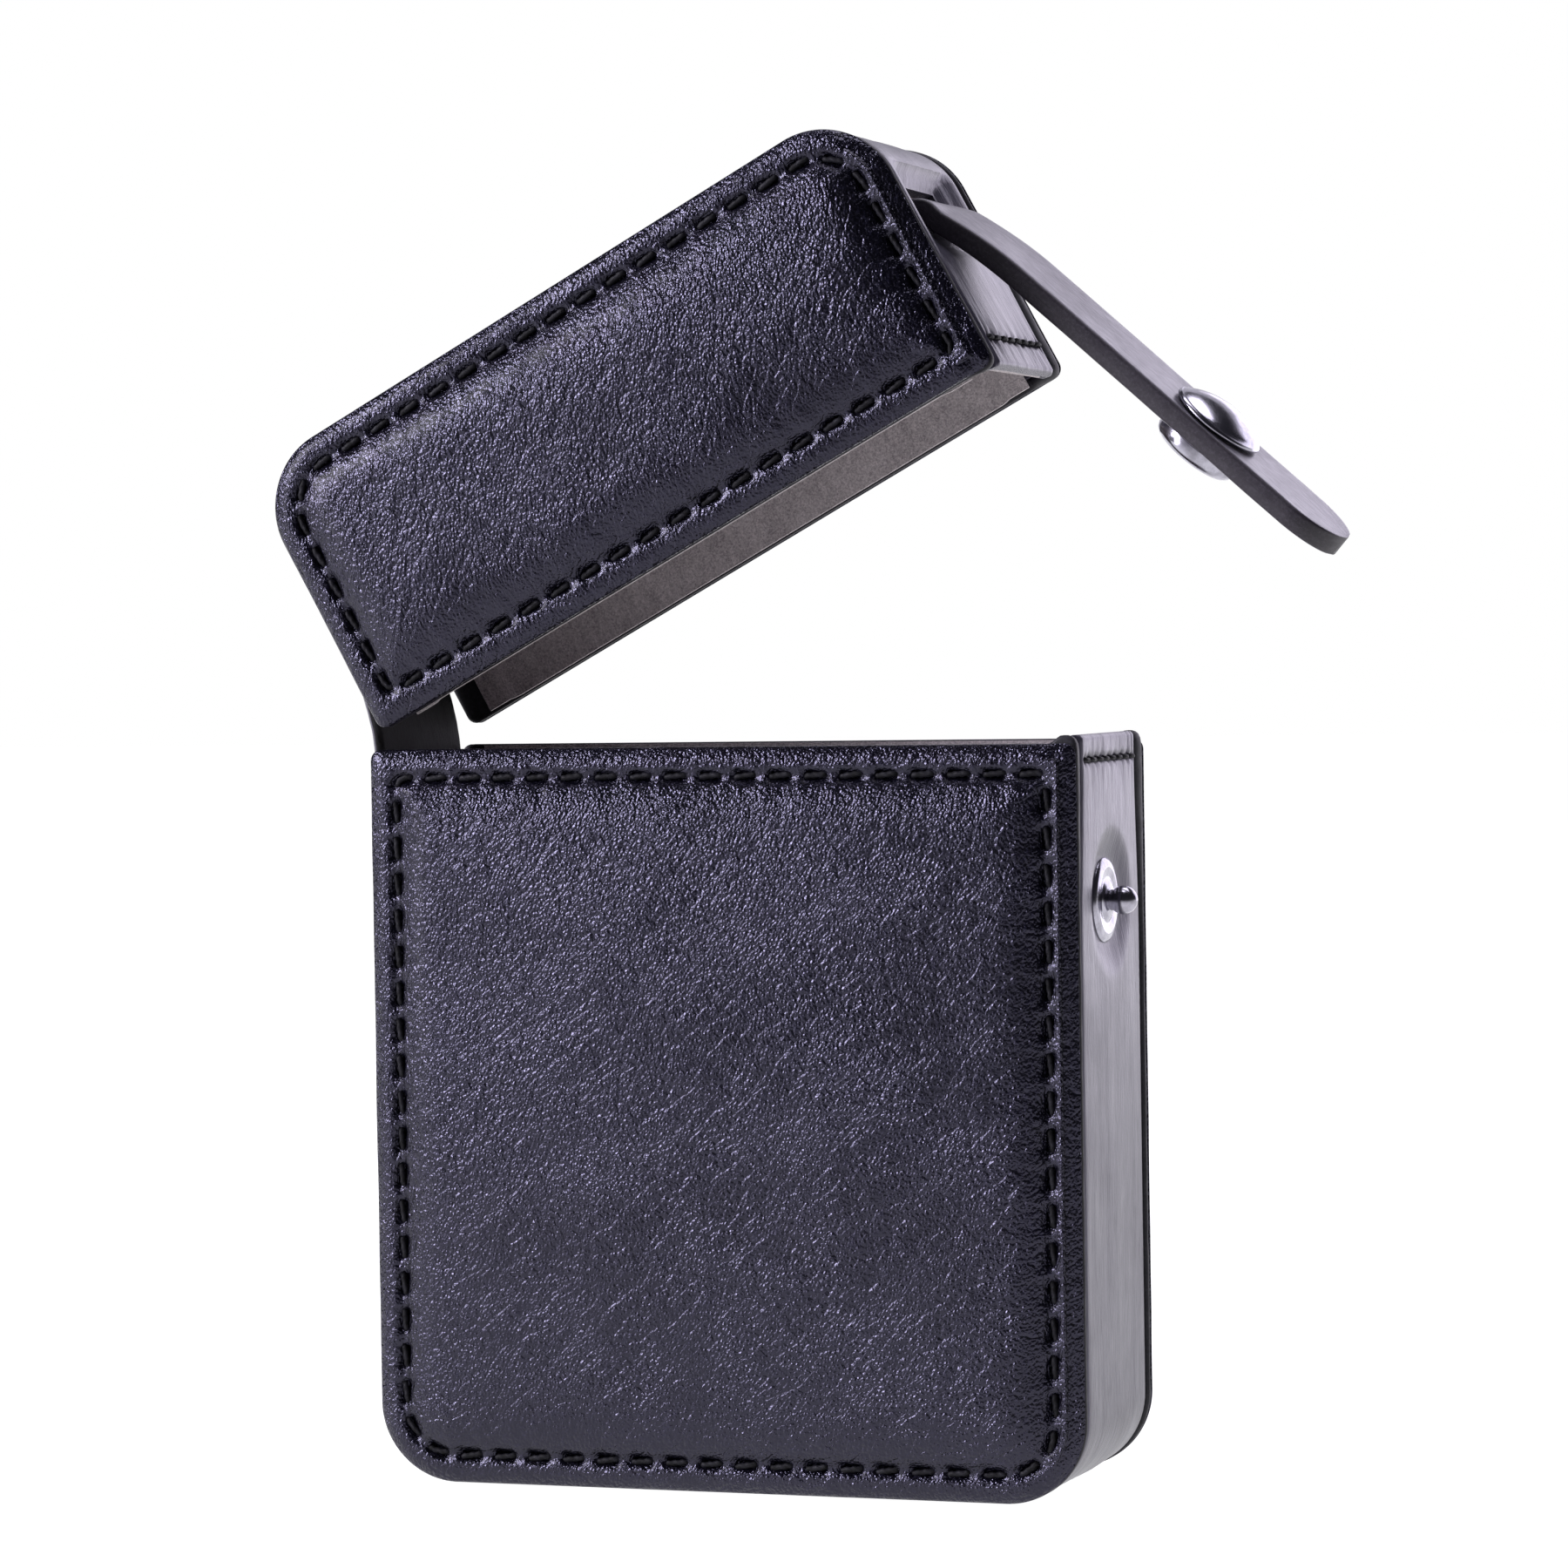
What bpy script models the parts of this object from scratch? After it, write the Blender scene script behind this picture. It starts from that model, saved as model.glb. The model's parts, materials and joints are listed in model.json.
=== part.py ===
"""Flip-top leather hard case with a leather hinge and a snap strap.

The case stands on the X-Y plane and the origin is the middle of its base. The wide front panel faces -Y, the
hinge is at the -X end and the snap strap at the +X end. Every piece is drawn where it lies with the lid and the
strap closed, and the empties on the joint axes then turn the moving pieces to the half-open rest pose.
"""

import math

import bmesh
import bpy
from mathutils import Matrix, Vector

# ---------------------------------------------------------------- driving dimensions, in metres and degrees
WIDTH = 0.0780
HALF_DEPTH = 0.0140
BODY_HEIGHT = 0.0780
LID_HEIGHT = 0.0313
CLOSED_GAP = 0.0012
CORNER_RADIUS = 0.0085
MOUTH_RADIUS = 0.0012
GAP = 0.0003

PANEL_LEATHER = 0.0010
PADDED_LEATHER = 0.0008
PAD_RISE = 0.0008
BACKING = 0.0009
LINING = 0.0004
STITCH_INSET = 0.0030
PANEL_EDGE_EASE = 0.0003
PAD_SWELL_START = 0.0008
PAD_SWELL_END = 0.0035
LINING_MOUTH_INSET = 0.0004
THREAD_WIDTH = 0.0006
THREAD_HEIGHT = 0.0004

WEB_INSET = 0.0015
GUSSET_LEATHER = 0.0011
FLANGE_LEATHER = 0.0009
FLANGE_WIDTH = 0.0045
GUSSET_SHOULDER = 0.0009
GUSSET_INNER_SHOULDER = 0.0003
BOTTOM_SAG_RUN = 0.0070
HINGE_END_RUN = 0.0080
GUSSET_RISE = 0.0008
BODY_THREAD_DOWN = 0.0021
LID_THREAD_UP = 0.0030
MOUTH_THREAD_SIDE_GAP = 0.0020

HINGE_X = -0.0389
HINGE_LOWER_Z = 0.0750
HINGE_LENGTH = 0.0142
HINGE_LEATHER = 0.0016
LID_REST_ANGLE = 28.4

STRAP_WIDTH = 0.0114
STRAP_LAYER = 0.0010
STRAP_SLOT_Z = 0.0185
STRAP_PIVOT_OUT = 0.0012
STRAP_RELIEF = 0.0008
STRAP_ROOT_RELIEF = 0.0014
STRAP_ROOT_LENGTH = 0.0120
STRAP_FREE_LENGTH = 0.0430
STRAP_ROOT_ANGLE = 33.0
STRAP_HANG_ANGLE = 20.0
STRAP_TWIST = 5.0
SLOT_DOWN = 0.0016
SLOT_UP = 0.0026
SLOT_MARGIN = 0.0005
BAND_SIDE_GAP = 0.0004
ANCHOR_THICKNESS = 0.0018
ANCHOR_LENGTH = 0.0090

SNAP_ALONG_STRAP = 0.0248
STUD_BASE_RADIUS = 0.0045
STUD_BASE = 0.0006
STUD_NECK_RADIUS = 0.0011
STUD_BALL_RADIUS = 0.0015
STUD_BALL_OUT = 0.0027
STUD_SHANK_RADIUS = 0.0009
SOCKET_RADIUS = 0.0048
SOCKET_HEIGHT = 0.0018
SOCKET_MOUTH_RADIUS = 0.0019
SOCKET_LIP = 0.0003
SOCKET_GROOVE_RADIUS = 0.00275
SPRING_RADIUS = 0.00215
SPRING_WIRE = 0.0003
POST_OUTER_RADIUS = 0.00215
POST_INNER_RADIUS = 0.0018
LEATHER_HOLE_RADIUS = 0.00245
CAP_RADIUS = 0.0052
CAP_HEIGHT = 0.0022
BACK_CAP_RADIUS = 0.0030

ROUND_STEPS = 24
CORNER_STEPS = 7
MOUTH_STEPS = 3

# ---------------------------------------------------------------- places that follow from them
LID_BOTTOM = BODY_HEIGHT + CLOSED_GAP
LID_TOP = LID_BOTTOM + LID_HEIGHT
HALF_WIDTH = WIDTH / 2
WEB_X = HALF_WIDTH - WEB_INSET
BACKING_OUT = HALF_DEPTH - PANEL_LEATHER - GAP
LINING_OUT = BACKING_OUT - BACKING - GAP
FLANGE_OUT = LINING_OUT
HINGE_TURN = math.radians(LID_REST_ANGLE / 2)

STRAP_THICKNESS = 2 * STRAP_LAYER + GAP
STRAP_MIDDLE_OUT = 4 * GAP + STUD_BASE + SOCKET_HEIGHT + STRAP_THICKNESS / 2 - GAP
OPENING_AXIS = Vector((0, -1, 0))


def remove_everything():
    """Start from an empty scene."""
    for thing in list(bpy.data.objects):
        bpy.data.objects.remove(thing, do_unlink=True)


def make_material(name, color, roughness, metallic=0.0):
    """A plain Principled material."""
    material = bpy.data.materials.new(name)
    material.use_nodes = True
    shader = material.node_tree.nodes["Principled BSDF"]
    shader.inputs["Base Color"].default_value = (*color, 1.0)
    shader.inputs["Roughness"].default_value = roughness
    shader.inputs["Metallic"].default_value = metallic
    material.diffuse_color = (*color, 1.0)
    return material


def make_empty(name, place, turn=None, parent=None):
    """An empty on a joint's axis; place is in the parent's coordinates."""
    empty = bpy.data.objects.new(name, None)
    bpy.context.scene.collection.objects.link(empty)
    empty.parent = parent
    empty.matrix_basis = Matrix.Translation(place) @ (turn or Matrix.Identity(4))
    return empty


class Mount:
    """Where a piece is hung: the empty it rides on, and that empty's place with everything closed."""

    def __init__(self, empty, closed_place):
        self.empty = empty
        self.closed_place = Vector(closed_place)


def add_piece(name, rings, material, mount, closed=False, smooth=False):
    """One solid lofted through rings of points; closed joins the last ring to the first, else both are capped."""
    form = bmesh.new()
    loops = []
    for ring in rings:
        points = [Vector(point) - mount.closed_place for point in ring]
        loops.append([form.verts.new(point) for point in points])
    pairs = list(zip(loops, loops[1:]))
    if closed:
        pairs.append((loops[-1], loops[0]))
    for lower, upper in pairs:
        count = max(len(lower), len(upper))
        for i in range(count):
            j = (i + 1) % count
            if len(lower) == 1:
                form.faces.new((lower[0], upper[j], upper[i]))
            elif len(upper) == 1:
                form.faces.new((lower[i], lower[j], upper[0]))
            else:
                form.faces.new((lower[i], lower[j], upper[j], upper[i]))
    if not closed:
        for loop in (loops[0], loops[-1]):
            if len(loop) > 2:
                form.faces.new(loop)
    bmesh.ops.recalc_face_normals(form, faces=form.faces)
    mesh = bpy.data.meshes.new(name)
    form.to_mesh(mesh)
    form.free()
    if smooth:
        mesh.shade_smooth()
        mesh.set_sharp_from_angle(angle=math.radians(40))
    if material is not None:
        mesh.materials.append(material)
    piece = bpy.data.objects.new(name, mesh)
    bpy.context.scene.collection.objects.link(piece)
    piece.parent = mount.empty
    return piece


def cut(piece, cutter):
    """Subtract a hidden cutter from a piece."""
    cutter.hide_render = True
    cutter.display_type = "WIRE"
    modifier = piece.modifiers.new(cutter.name, "BOOLEAN")
    modifier.operation = "DIFFERENCE"
    modifier.solver = "EXACT"
    modifier.object = cutter


# ---------------------------------------------------------------- outlines
def corner(center_x, center_z, radius, start, steps):
    """A quarter arc, anticlockwise from start degrees; each point comes with its outward direction."""
    points = []
    for step in range(steps + 1):
        angle = math.radians(start + 90 * step / steps)
        out = (math.cos(angle), math.sin(angle))
        points.append((center_x + radius * out[0], center_z + radius * out[1], *out))
    return points


def panel_outline(bottom, top, bottom_radius, top_radius, inset=0.0):
    """The rounded outline (x, z) of a panel, pulled in by inset."""
    low_radius = max(bottom_radius - inset, MOUTH_RADIUS / 4)
    high_radius = max(top_radius - inset, MOUTH_RADIUS / 4)
    half = HALF_WIDTH - inset
    low = bottom + inset
    high = top - inset
    low_steps = CORNER_STEPS if bottom_radius > MOUTH_RADIUS else MOUTH_STEPS
    high_steps = CORNER_STEPS if top_radius > MOUTH_RADIUS else MOUTH_STEPS
    points = corner(half - high_radius, high - high_radius, high_radius, 0, high_steps)
    points += corner(-half + high_radius, high - high_radius, high_radius, 90, high_steps)
    points += corner(-half + low_radius, low + low_radius, low_radius, 180, low_steps)
    points += corner(half - low_radius, low + low_radius, low_radius, 270, low_steps)
    return [(x, z) for x, z, _, _ in points]


def body_outline(inset, mouth_out=0.0):
    """The body's outline pulled in by inset, with its mouth side moved out again by mouth_out."""
    return panel_outline(0.0, BODY_HEIGHT + mouth_out, CORNER_RADIUS, MOUTH_RADIUS, inset)


def lid_outline(inset, mouth_out=0.0):
    """The lid's outline in the same way."""
    return panel_outline(LID_BOTTOM - mouth_out, LID_TOP, MOUTH_RADIUS, CORNER_RADIUS, inset)


# ---------------------------------------------------------------- panels
def panel_ring(outline, inset, side, depth):
    """The outline pulled in by inset, at a distance depth from the middle plane on one side (-1 front, 1 back)."""
    return [(x, side * depth, z) for x, z in outline(inset)]


def panel_solid(name, outline, side, steps, material, mount):
    """A solid through (inset, depth) steps, from the middle of one face round the border to the other face."""
    rings = [panel_ring(outline, inset, side, depth) for inset, depth in steps]
    return add_piece(name, rings, material, mount)


def add_panel(prefix, outline, side, materials, mount):
    """The five pieces of one padded wall: leather, pad, backing, lining and thread."""
    edge = PANEL_EDGE_EASE
    swell_start = STITCH_INSET + PAD_SWELL_START
    swell_top = STITCH_INSET + PAD_SWELL_END
    inner_face = HALF_DEPTH - PANEL_LEATHER
    pad_out = HALF_DEPTH + PAD_RISE - PADDED_LEATHER - GAP
    lining_inset = WEB_INSET + FLANGE_WIDTH + GAP

    leather_steps = [
        (swell_top, HALF_DEPTH + PAD_RISE),
        (swell_start + 0.0009, HALF_DEPTH + 0.65 * PAD_RISE),
        (swell_start, HALF_DEPTH),
        (edge, HALF_DEPTH),
        (0.0, HALF_DEPTH - edge),
        (0.0, inner_face),
        (swell_start + 0.0006, inner_face),
        (swell_top, inner_face + PAD_RISE + 0.0002),
    ]
    pad_steps = [
        (swell_top + 0.0006, pad_out),
        (swell_start + 0.0020, inner_face + 0.0001),
        (swell_start + 0.0020, inner_face),
    ]
    backing_steps = [
        (0.0, BACKING_OUT),
        (0.0, BACKING_OUT - BACKING + edge),
        (edge, BACKING_OUT - BACKING),
    ]
    lining_outline = outline(lining_inset, lining_inset - LINING_MOUTH_INSET)
    lining_rings = [[(x, side * depth, z) for x, z in lining_outline] for depth in (LINING_OUT, LINING_OUT - LINING)]
    panel_solid(f"{prefix}_leather", outline, side, leather_steps, materials["leather"], mount)
    panel_solid(f"{prefix}_pad", outline, side, pad_steps, materials["foam"], mount)
    panel_solid(f"{prefix}_backing", outline, side, backing_steps, materials["edge"], mount)
    add_piece(f"{prefix}_lining", lining_rings, materials["suede"], mount)

    low = HALF_DEPTH + GAP
    high = low + THREAD_HEIGHT
    section = [
        (STITCH_INSET - THREAD_WIDTH / 2, low),
        (STITCH_INSET - THREAD_WIDTH / 2, high),
        (STITCH_INSET + THREAD_WIDTH / 2, high),
        (STITCH_INSET + THREAD_WIDTH / 2, low),
    ]
    rings = [panel_ring(outline, inset, side, depth) for inset, depth in section]
    add_piece(f"{prefix}_thread", rings, materials["thread"], mount, closed=True)


# ---------------------------------------------------------------- gussets
def ease(value, start, end):
    """0 before start, 1 after end, smooth between."""
    share = min(max((value - start) / (end - start), 0.0), 1.0)
    return share * share * (3 - 2 * share)


def body_band():
    """Stations (x, z, out_x, out_z, inset) of the body's band, from the mouth at the right to the hinge."""
    hinge_end = HINGE_LOWER_Z - HINGE_LEATHER / 2 - GAP
    hinge_inset = HALF_WIDTH + HINGE_X - GUSSET_LEATHER / 2
    sag_start = HALF_WIDTH - CORNER_RADIUS
    sag_end = sag_start - BOTTOM_SAG_RUN
    stations = [(HALF_WIDTH, BODY_HEIGHT + GUSSET_RISE, 1, 0, WEB_INSET)]
    right = corner(HALF_WIDTH - CORNER_RADIUS, CORNER_RADIUS, CORNER_RADIUS, 270, CORNER_STEPS)
    stations += [(*point, WEB_INSET) for point in reversed(right)]
    for share in (0.25, 0.5, 0.75, 1.0):
        x = sag_start + (sag_end - sag_start) * share
        stations.append((x, 0.0, 0, -1, WEB_INSET * (1 - ease(share, 0.0, 1.0))))
    mirrored = [(-x, z, -out_x, out_z, inset) for x, z, out_x, out_z, inset in reversed(stations[1:])]
    stations += mirrored
    for share in (0.0, 0.25, 0.5, 0.75, 1.0):
        z = hinge_end - HINGE_END_RUN * (1 - share)
        inset = WEB_INSET + (hinge_inset - WEB_INSET) * ease(share, 0.0, 1.0)
        stations.append((-HALF_WIDTH, z, -1, 0, inset))
    return stations


def lid_band():
    """The same for the lid's band, from its mouth at the right over the top to the hinge."""
    hinge_end = HINGE_LOWER_Z + HINGE_LENGTH + HINGE_LEATHER / 2 + GAP
    hinge_inset = HALF_WIDTH + HINGE_X - GUSSET_LEATHER / 2
    arc_z = LID_TOP - CORNER_RADIUS
    arc_x = HALF_WIDTH - CORNER_RADIUS
    stations = [(HALF_WIDTH, LID_BOTTOM, 1, 0, WEB_INSET)]
    stations += [(*point, WEB_INSET) for point in corner(arc_x, arc_z, CORNER_RADIUS, 0, CORNER_STEPS)]
    stations += [(*point, WEB_INSET) for point in corner(-arc_x, arc_z, CORNER_RADIUS, 90, CORNER_STEPS)]
    for share in (0.25, 0.5, 0.75, 1.0):
        z = arc_z + (hinge_end - arc_z) * share
        inset = WEB_INSET + (hinge_inset - WEB_INSET) * ease(share, 0.0, 1.0)
        stations.append((-HALF_WIDTH, z, -1, 0, inset))
    return stations


def sweep(name, stations, section, material, mount):
    """A section of (out, y) points carried along a band."""
    rings = []
    for x, z, out_x, out_z, inset in stations:
        ring = [(x + (out - inset) * out_x, y, z + (out - inset) * out_z) for out, y in section]
        rings.append(ring)
    return add_piece(name, rings, material, mount)


def channel_section():
    """The gusset's section: a web whose two flanges turn in under the panels."""
    shoulder = GUSSET_SHOULDER
    inner = FLANGE_OUT - FLANGE_LEATHER
    inner_shoulder = GUSSET_INNER_SHOULDER
    half = [
        (-FLANGE_WIDTH, inner),
        (-FLANGE_WIDTH, FLANGE_OUT),
        (-shoulder, FLANGE_OUT),
        (-0.3 * shoulder, FLANGE_OUT - 0.3 * shoulder),
        (0.0, FLANGE_OUT - shoulder),
    ]
    inside = [
        (-GUSSET_LEATHER, inner - inner_shoulder),
        (-GUSSET_LEATHER - inner_shoulder, inner),
    ]
    front = [(out, -y) for out, y in half]
    inside_front = [(out, -y) for out, y in reversed(inside)]
    return front + list(reversed(half)) + list(reversed(inside)) + list(reversed(inside_front))


def add_gusset(prefix, stations, materials, mount):
    """The leather band and its lining."""
    lining_out = -GUSSET_LEATHER - GAP
    half = FLANGE_OUT - FLANGE_LEATHER - GAP
    lining_section = [
        (lining_out, -half),
        (lining_out, half),
        (lining_out - LINING, half),
        (lining_out - LINING, -half),
    ]
    band = sweep(f"{prefix}_gusset", stations, channel_section(), materials["gusset"], mount)
    lining = sweep(f"{prefix}_gusset_lining", stations, lining_section, materials["suede"], mount)
    return band, lining


def add_mouth_thread(name, z, materials, mount):
    """The row of stitches across the web, beside the mouth."""
    low = WEB_X + GAP
    half = FLANGE_OUT - MOUTH_THREAD_SIDE_GAP
    rings = []
    for y in (-half, half):
        ring = [(low, y, z), (low, y, z + THREAD_WIDTH)]
        ring += [(low + THREAD_HEIGHT, y, z + THREAD_WIDTH), (low + THREAD_HEIGHT, y, z)]
        rings.append(ring)
    add_piece(name, rings, materials["thread"], mount)


# ---------------------------------------------------------------- round parts on the snap's axis (+X)
def turned(name, profile, center, material, mount, closed=False):
    """A solid turned about an X-wards axis; the profile holds (radius, distance along the axis)."""
    rings = []
    for radius, along in profile:
        if radius == 0.0:
            rings.append([(center[0] + along, center[1], center[2])])
            continue
        ring = []
        for step in range(ROUND_STEPS):
            angle = 2 * math.pi * step / ROUND_STEPS
            y = center[1] + radius * math.cos(angle)
            z = center[2] + radius * math.sin(angle)
            ring.append((center[0] + along, y, z))
        rings.append(ring)
    return add_piece(name, rings, material, mount, closed=closed, smooth=True)


def arc_profile(radius, center_along, start, end, steps):
    """Points (radius, along) of an arc about a point on the axis, by its angle from the +X direction."""
    points = []
    for step in range(steps + 1):
        angle = math.radians(start + (end - start) * step / steps)
        points.append((radius * math.sin(angle), center_along + radius * math.cos(angle)))
    return points


def add_stud(center, materials, mount):
    """Stud with shank, base disc, neck and ball, and the cap that holds it from inside."""
    base = GAP
    top = base + STUD_BASE
    shank_end = -GUSSET_LEATHER - GAP - LINING
    neck_angle = math.degrees(math.asin(STUD_NECK_RADIUS / STUD_BALL_RADIUS))
    ball = arc_profile(STUD_BALL_RADIUS, STUD_BALL_OUT, 180 - neck_angle, 0, 7)
    ball[-1] = (0.0, STUD_BALL_OUT + STUD_BALL_RADIUS)
    profile = [
        (0.0, shank_end),
        (STUD_SHANK_RADIUS, shank_end),
        (STUD_SHANK_RADIUS, base),
        (STUD_BASE_RADIUS, base),
        (STUD_BASE_RADIUS, base + 0.0002),
        (STUD_BASE_RADIUS - 0.0007, top),
        (STUD_NECK_RADIUS + 0.0005, top),
        (STUD_NECK_RADIUS, top + 0.0004),
    ]
    turned("snap_stud", profile + ball, center, materials["chrome"], mount)

    cap_out = shank_end - GAP
    cap_profile = [
        (0.0, cap_out),
        (BACK_CAP_RADIUS, cap_out),
        (BACK_CAP_RADIUS, cap_out - 0.0002),
        (BACK_CAP_RADIUS - 0.0006, cap_out - 0.0005),
        (0.0, cap_out - 0.0006),
    ]
    turned("snap_stud_back_cap", cap_profile, center, materials["chrome"], mount)


def add_strap_snap(center, materials, mount):
    """Cap, post, socket and spring; center is on the strap's middle plane."""
    half = STRAP_THICKNESS / 2
    cap_base = half + GAP
    cap_profile = [
        (0.0, cap_base),
        (CAP_RADIUS - 0.0004, cap_base),
        (CAP_RADIUS, cap_base + 0.0003),
        (CAP_RADIUS - 0.0001, cap_base + 0.0006),
        (0.0044, cap_base + 0.0012),
        (0.0033, cap_base + 0.0017),
        (0.0018, cap_base + 0.0021),
        (0.0, cap_base + CAP_HEIGHT),
    ]
    turned("snap_cap", cap_profile, center, materials["chrome"], mount)

    post_profile = [
        (POST_INNER_RADIUS, -half),
        (POST_OUTER_RADIUS, -half),
        (POST_OUTER_RADIUS, half),
        (POST_INNER_RADIUS, half),
    ]
    turned("snap_post", post_profile, center, materials["chrome"], mount, closed=True)

    top = -half - GAP
    low = top - SOCKET_HEIGHT
    lip = SOCKET_LIP
    socket_profile = [
        (SOCKET_MOUTH_RADIUS, low),
        (0.0032, low),
        (0.0037, low + 0.0003),
        (0.0040, low + 0.0011),
        (SOCKET_RADIUS, low + 0.0013),
        (SOCKET_RADIUS, top),
        (SOCKET_MOUTH_RADIUS, top),
        (SOCKET_MOUTH_RADIUS, top - lip),
        (SOCKET_GROOVE_RADIUS, top - lip),
        (SOCKET_GROOVE_RADIUS, low + lip),
        (SOCKET_MOUTH_RADIUS, low + lip),
    ]
    turned("snap_socket", socket_profile, center, materials["chrome"], mount, closed=True)

    middle = (low + top) / 2
    spring_profile = []
    for step in range(6):
        angle = math.radians(60 * step)
        radius = SPRING_RADIUS + SPRING_WIRE * math.cos(angle)
        spring_profile.append((radius, middle + SPRING_WIRE * math.sin(angle)))
    turned("snap_spring", spring_profile, center, materials["steel"], mount, closed=True)


def hole_cutter(name, radius, low, high, center, mount):
    """A cylinder along X that makes a rivet hole."""
    profile = [(0.0, low), (radius, low), (radius, high), (0.0, high)]
    return turned(name, profile, center, None, mount)


# ---------------------------------------------------------------- strap
def root_path(along, turn_back):
    """Place and heading of the strap's root part, from its pivot, with the heading turned in by turn_back."""
    bend = math.radians(STRAP_ROOT_ANGLE - STRAP_HANG_ANGLE) / STRAP_ROOT_LENGTH
    start = math.radians(STRAP_ROOT_ANGLE) - turn_back
    heading = start - bend * along
    out = (math.cos(heading) - math.cos(start)) / bend
    down = (math.sin(start) - math.sin(heading)) / bend
    return out, -down, heading


def strap_layer(name, stations, low, high, material, mount):
    """A leather layer between two offsets from the middle plane; stations hold (x, z, heading, half width)."""
    rings = []
    for x, z, heading, half in stations:
        out_x = math.cos(heading)
        out_z = math.sin(heading)
        ring = []
        for offset, y in ((low, -half), (low, half), (high, half), (high, -half)):
            ring.append((x + offset * out_x, y, z + offset * out_z))
        rings.append(ring)
    return add_piece(name, rings, material, mount)


def add_strap_pair(prefix, stations, material, mount):
    """Outer and inner leather of one part of the strap."""
    half = STRAP_THICKNESS / 2
    outer = strap_layer(f"{prefix}_outer_leather", stations, GAP / 2, half, material, mount)
    inner = strap_layer(f"{prefix}_inner_leather", stations, -half, -GAP / 2, material, mount)
    return outer, inner


def strap_turns():
    """How far the root and the free part turn in from the rest pose to lie along the gusset."""
    out, down, _ = root_path(STRAP_ROOT_LENGTH, 0.0)
    chord = math.hypot(out, down)
    rest_angle = math.atan2(out, -down)
    closed_angle = math.asin((STRAP_MIDDLE_OUT - STRAP_PIVOT_OUT) / chord)
    root_turn = rest_angle - closed_angle
    return root_turn, math.radians(STRAP_HANG_ANGLE) - root_turn


def build_strap(lid_mount, materials):
    """Both parts of the strap with the snap; returns the stud's height on the body."""
    root_turn, free_turn = strap_turns()
    pivot = Vector((WEB_X + STRAP_PIVOT_OUT, 0, LID_BOTTOM + STRAP_SLOT_Z))
    half = STRAP_WIDTH / 2

    hang = math.radians(STRAP_HANG_ANGLE)
    length_axis = Vector((math.sin(hang), 0, -math.cos(hang)))
    swing = Matrix.Rotation(root_turn, 4, OPENING_AXIS)
    twist = Matrix.Rotation(math.radians(STRAP_TWIST), 4, length_axis)
    root_empty = make_empty("strap_root_axis", pivot - lid_mount.closed_place, twist @ swing, lid_mount.empty)
    root_mount = Mount(root_empty, pivot)

    steps = 6
    stations = []
    for step in range(steps + 1):
        along = STRAP_ROOT_RELIEF + (STRAP_ROOT_LENGTH - GAP - STRAP_ROOT_RELIEF) * step / steps
        x, z, heading = root_path(along, root_turn)
        stations.append((pivot.x + x, pivot.z + z, heading, half))
    add_strap_pair("strap_root", stations, materials["leather"], root_mount)

    x, z, _ = root_path(STRAP_ROOT_LENGTH, root_turn)
    bend = pivot + Vector((x, 0, z))
    free_swing = Matrix.Rotation(free_turn, 4, OPENING_AXIS)
    bend_empty = make_empty("strap_bend_axis", bend - pivot, free_swing, root_empty)
    free_mount = Mount(bend_empty, bend)

    tip_steps = 8
    stations = [(bend.x, bend.z - STRAP_RELIEF, 0.0, half)]
    for step in range(tip_steps + 1):
        angle = math.radians(84 * step / tip_steps)
        z = bend.z - STRAP_FREE_LENGTH + half - half * math.sin(angle)
        stations.append((bend.x, z, 0.0, half * math.cos(angle)))
    outer, inner = add_strap_pair("strap_free", stations, materials["leather"], free_mount)

    snap = Vector((bend.x, 0, bend.z - SNAP_ALONG_STRAP))
    reach = STRAP_THICKNESS
    cutter = hole_cutter("strap_hole_cutter", LEATHER_HOLE_RADIUS, -reach, reach, snap, free_mount)
    cut(outer, cutter)
    cut(inner, cutter)
    add_strap_snap(snap, materials, free_mount)
    return snap.z


# ---------------------------------------------------------------- hinge strip and strap anchor
def build_hinge_strip(mount, materials):
    """A strip with a round edge on each hinge axis."""
    radius = HINGE_LEATHER / 2
    half = FLANGE_OUT - BAND_SIDE_GAP
    outline = []
    for center_z, start in ((HINGE_LOWER_Z + HINGE_LENGTH, 0), (HINGE_LOWER_Z, 180)):
        for step in range(7):
            angle = math.radians(start + 180 * step / 6)
            outline.append((HINGE_X + radius * math.cos(angle), center_z + radius * math.sin(angle)))
    rings = [[(x, y, z) for x, z in outline] for y in (-half, half)]
    add_piece("hinge_strip", rings, materials["gusset"], mount)


def build_anchor(mount, materials):
    """The strap's sewn end: it comes in through the slot and lies down the lining."""
    z = LID_BOTTOM + STRAP_SLOT_Z
    half = STRAP_WIDTH / 2 - BAND_SIDE_GAP
    outer_end = WEB_X + STRAP_PIVOT_OUT - STRAP_THICKNESS / 2 - 2 * GAP
    lining_face = WEB_X - GUSSET_LEATHER - GAP - LINING - GAP
    inner = lining_face - ANCHOR_THICKNESS
    top = z + ANCHOR_THICKNESS / 2
    low = z - ANCHOR_THICKNESS / 2
    outline = [
        (outer_end, top),
        (inner + 0.0006, top),
        (inner, top - 0.0006),
        (inner, low - ANCHOR_LENGTH),
        (lining_face, low - ANCHOR_LENGTH),
        (lining_face, low),
        (outer_end, low),
    ]
    rings = [[(x, y, z) for x, z in outline] for y in (-half, half)]
    add_piece("strap_anchor_tab", rings, materials["leather"], mount)


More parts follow.
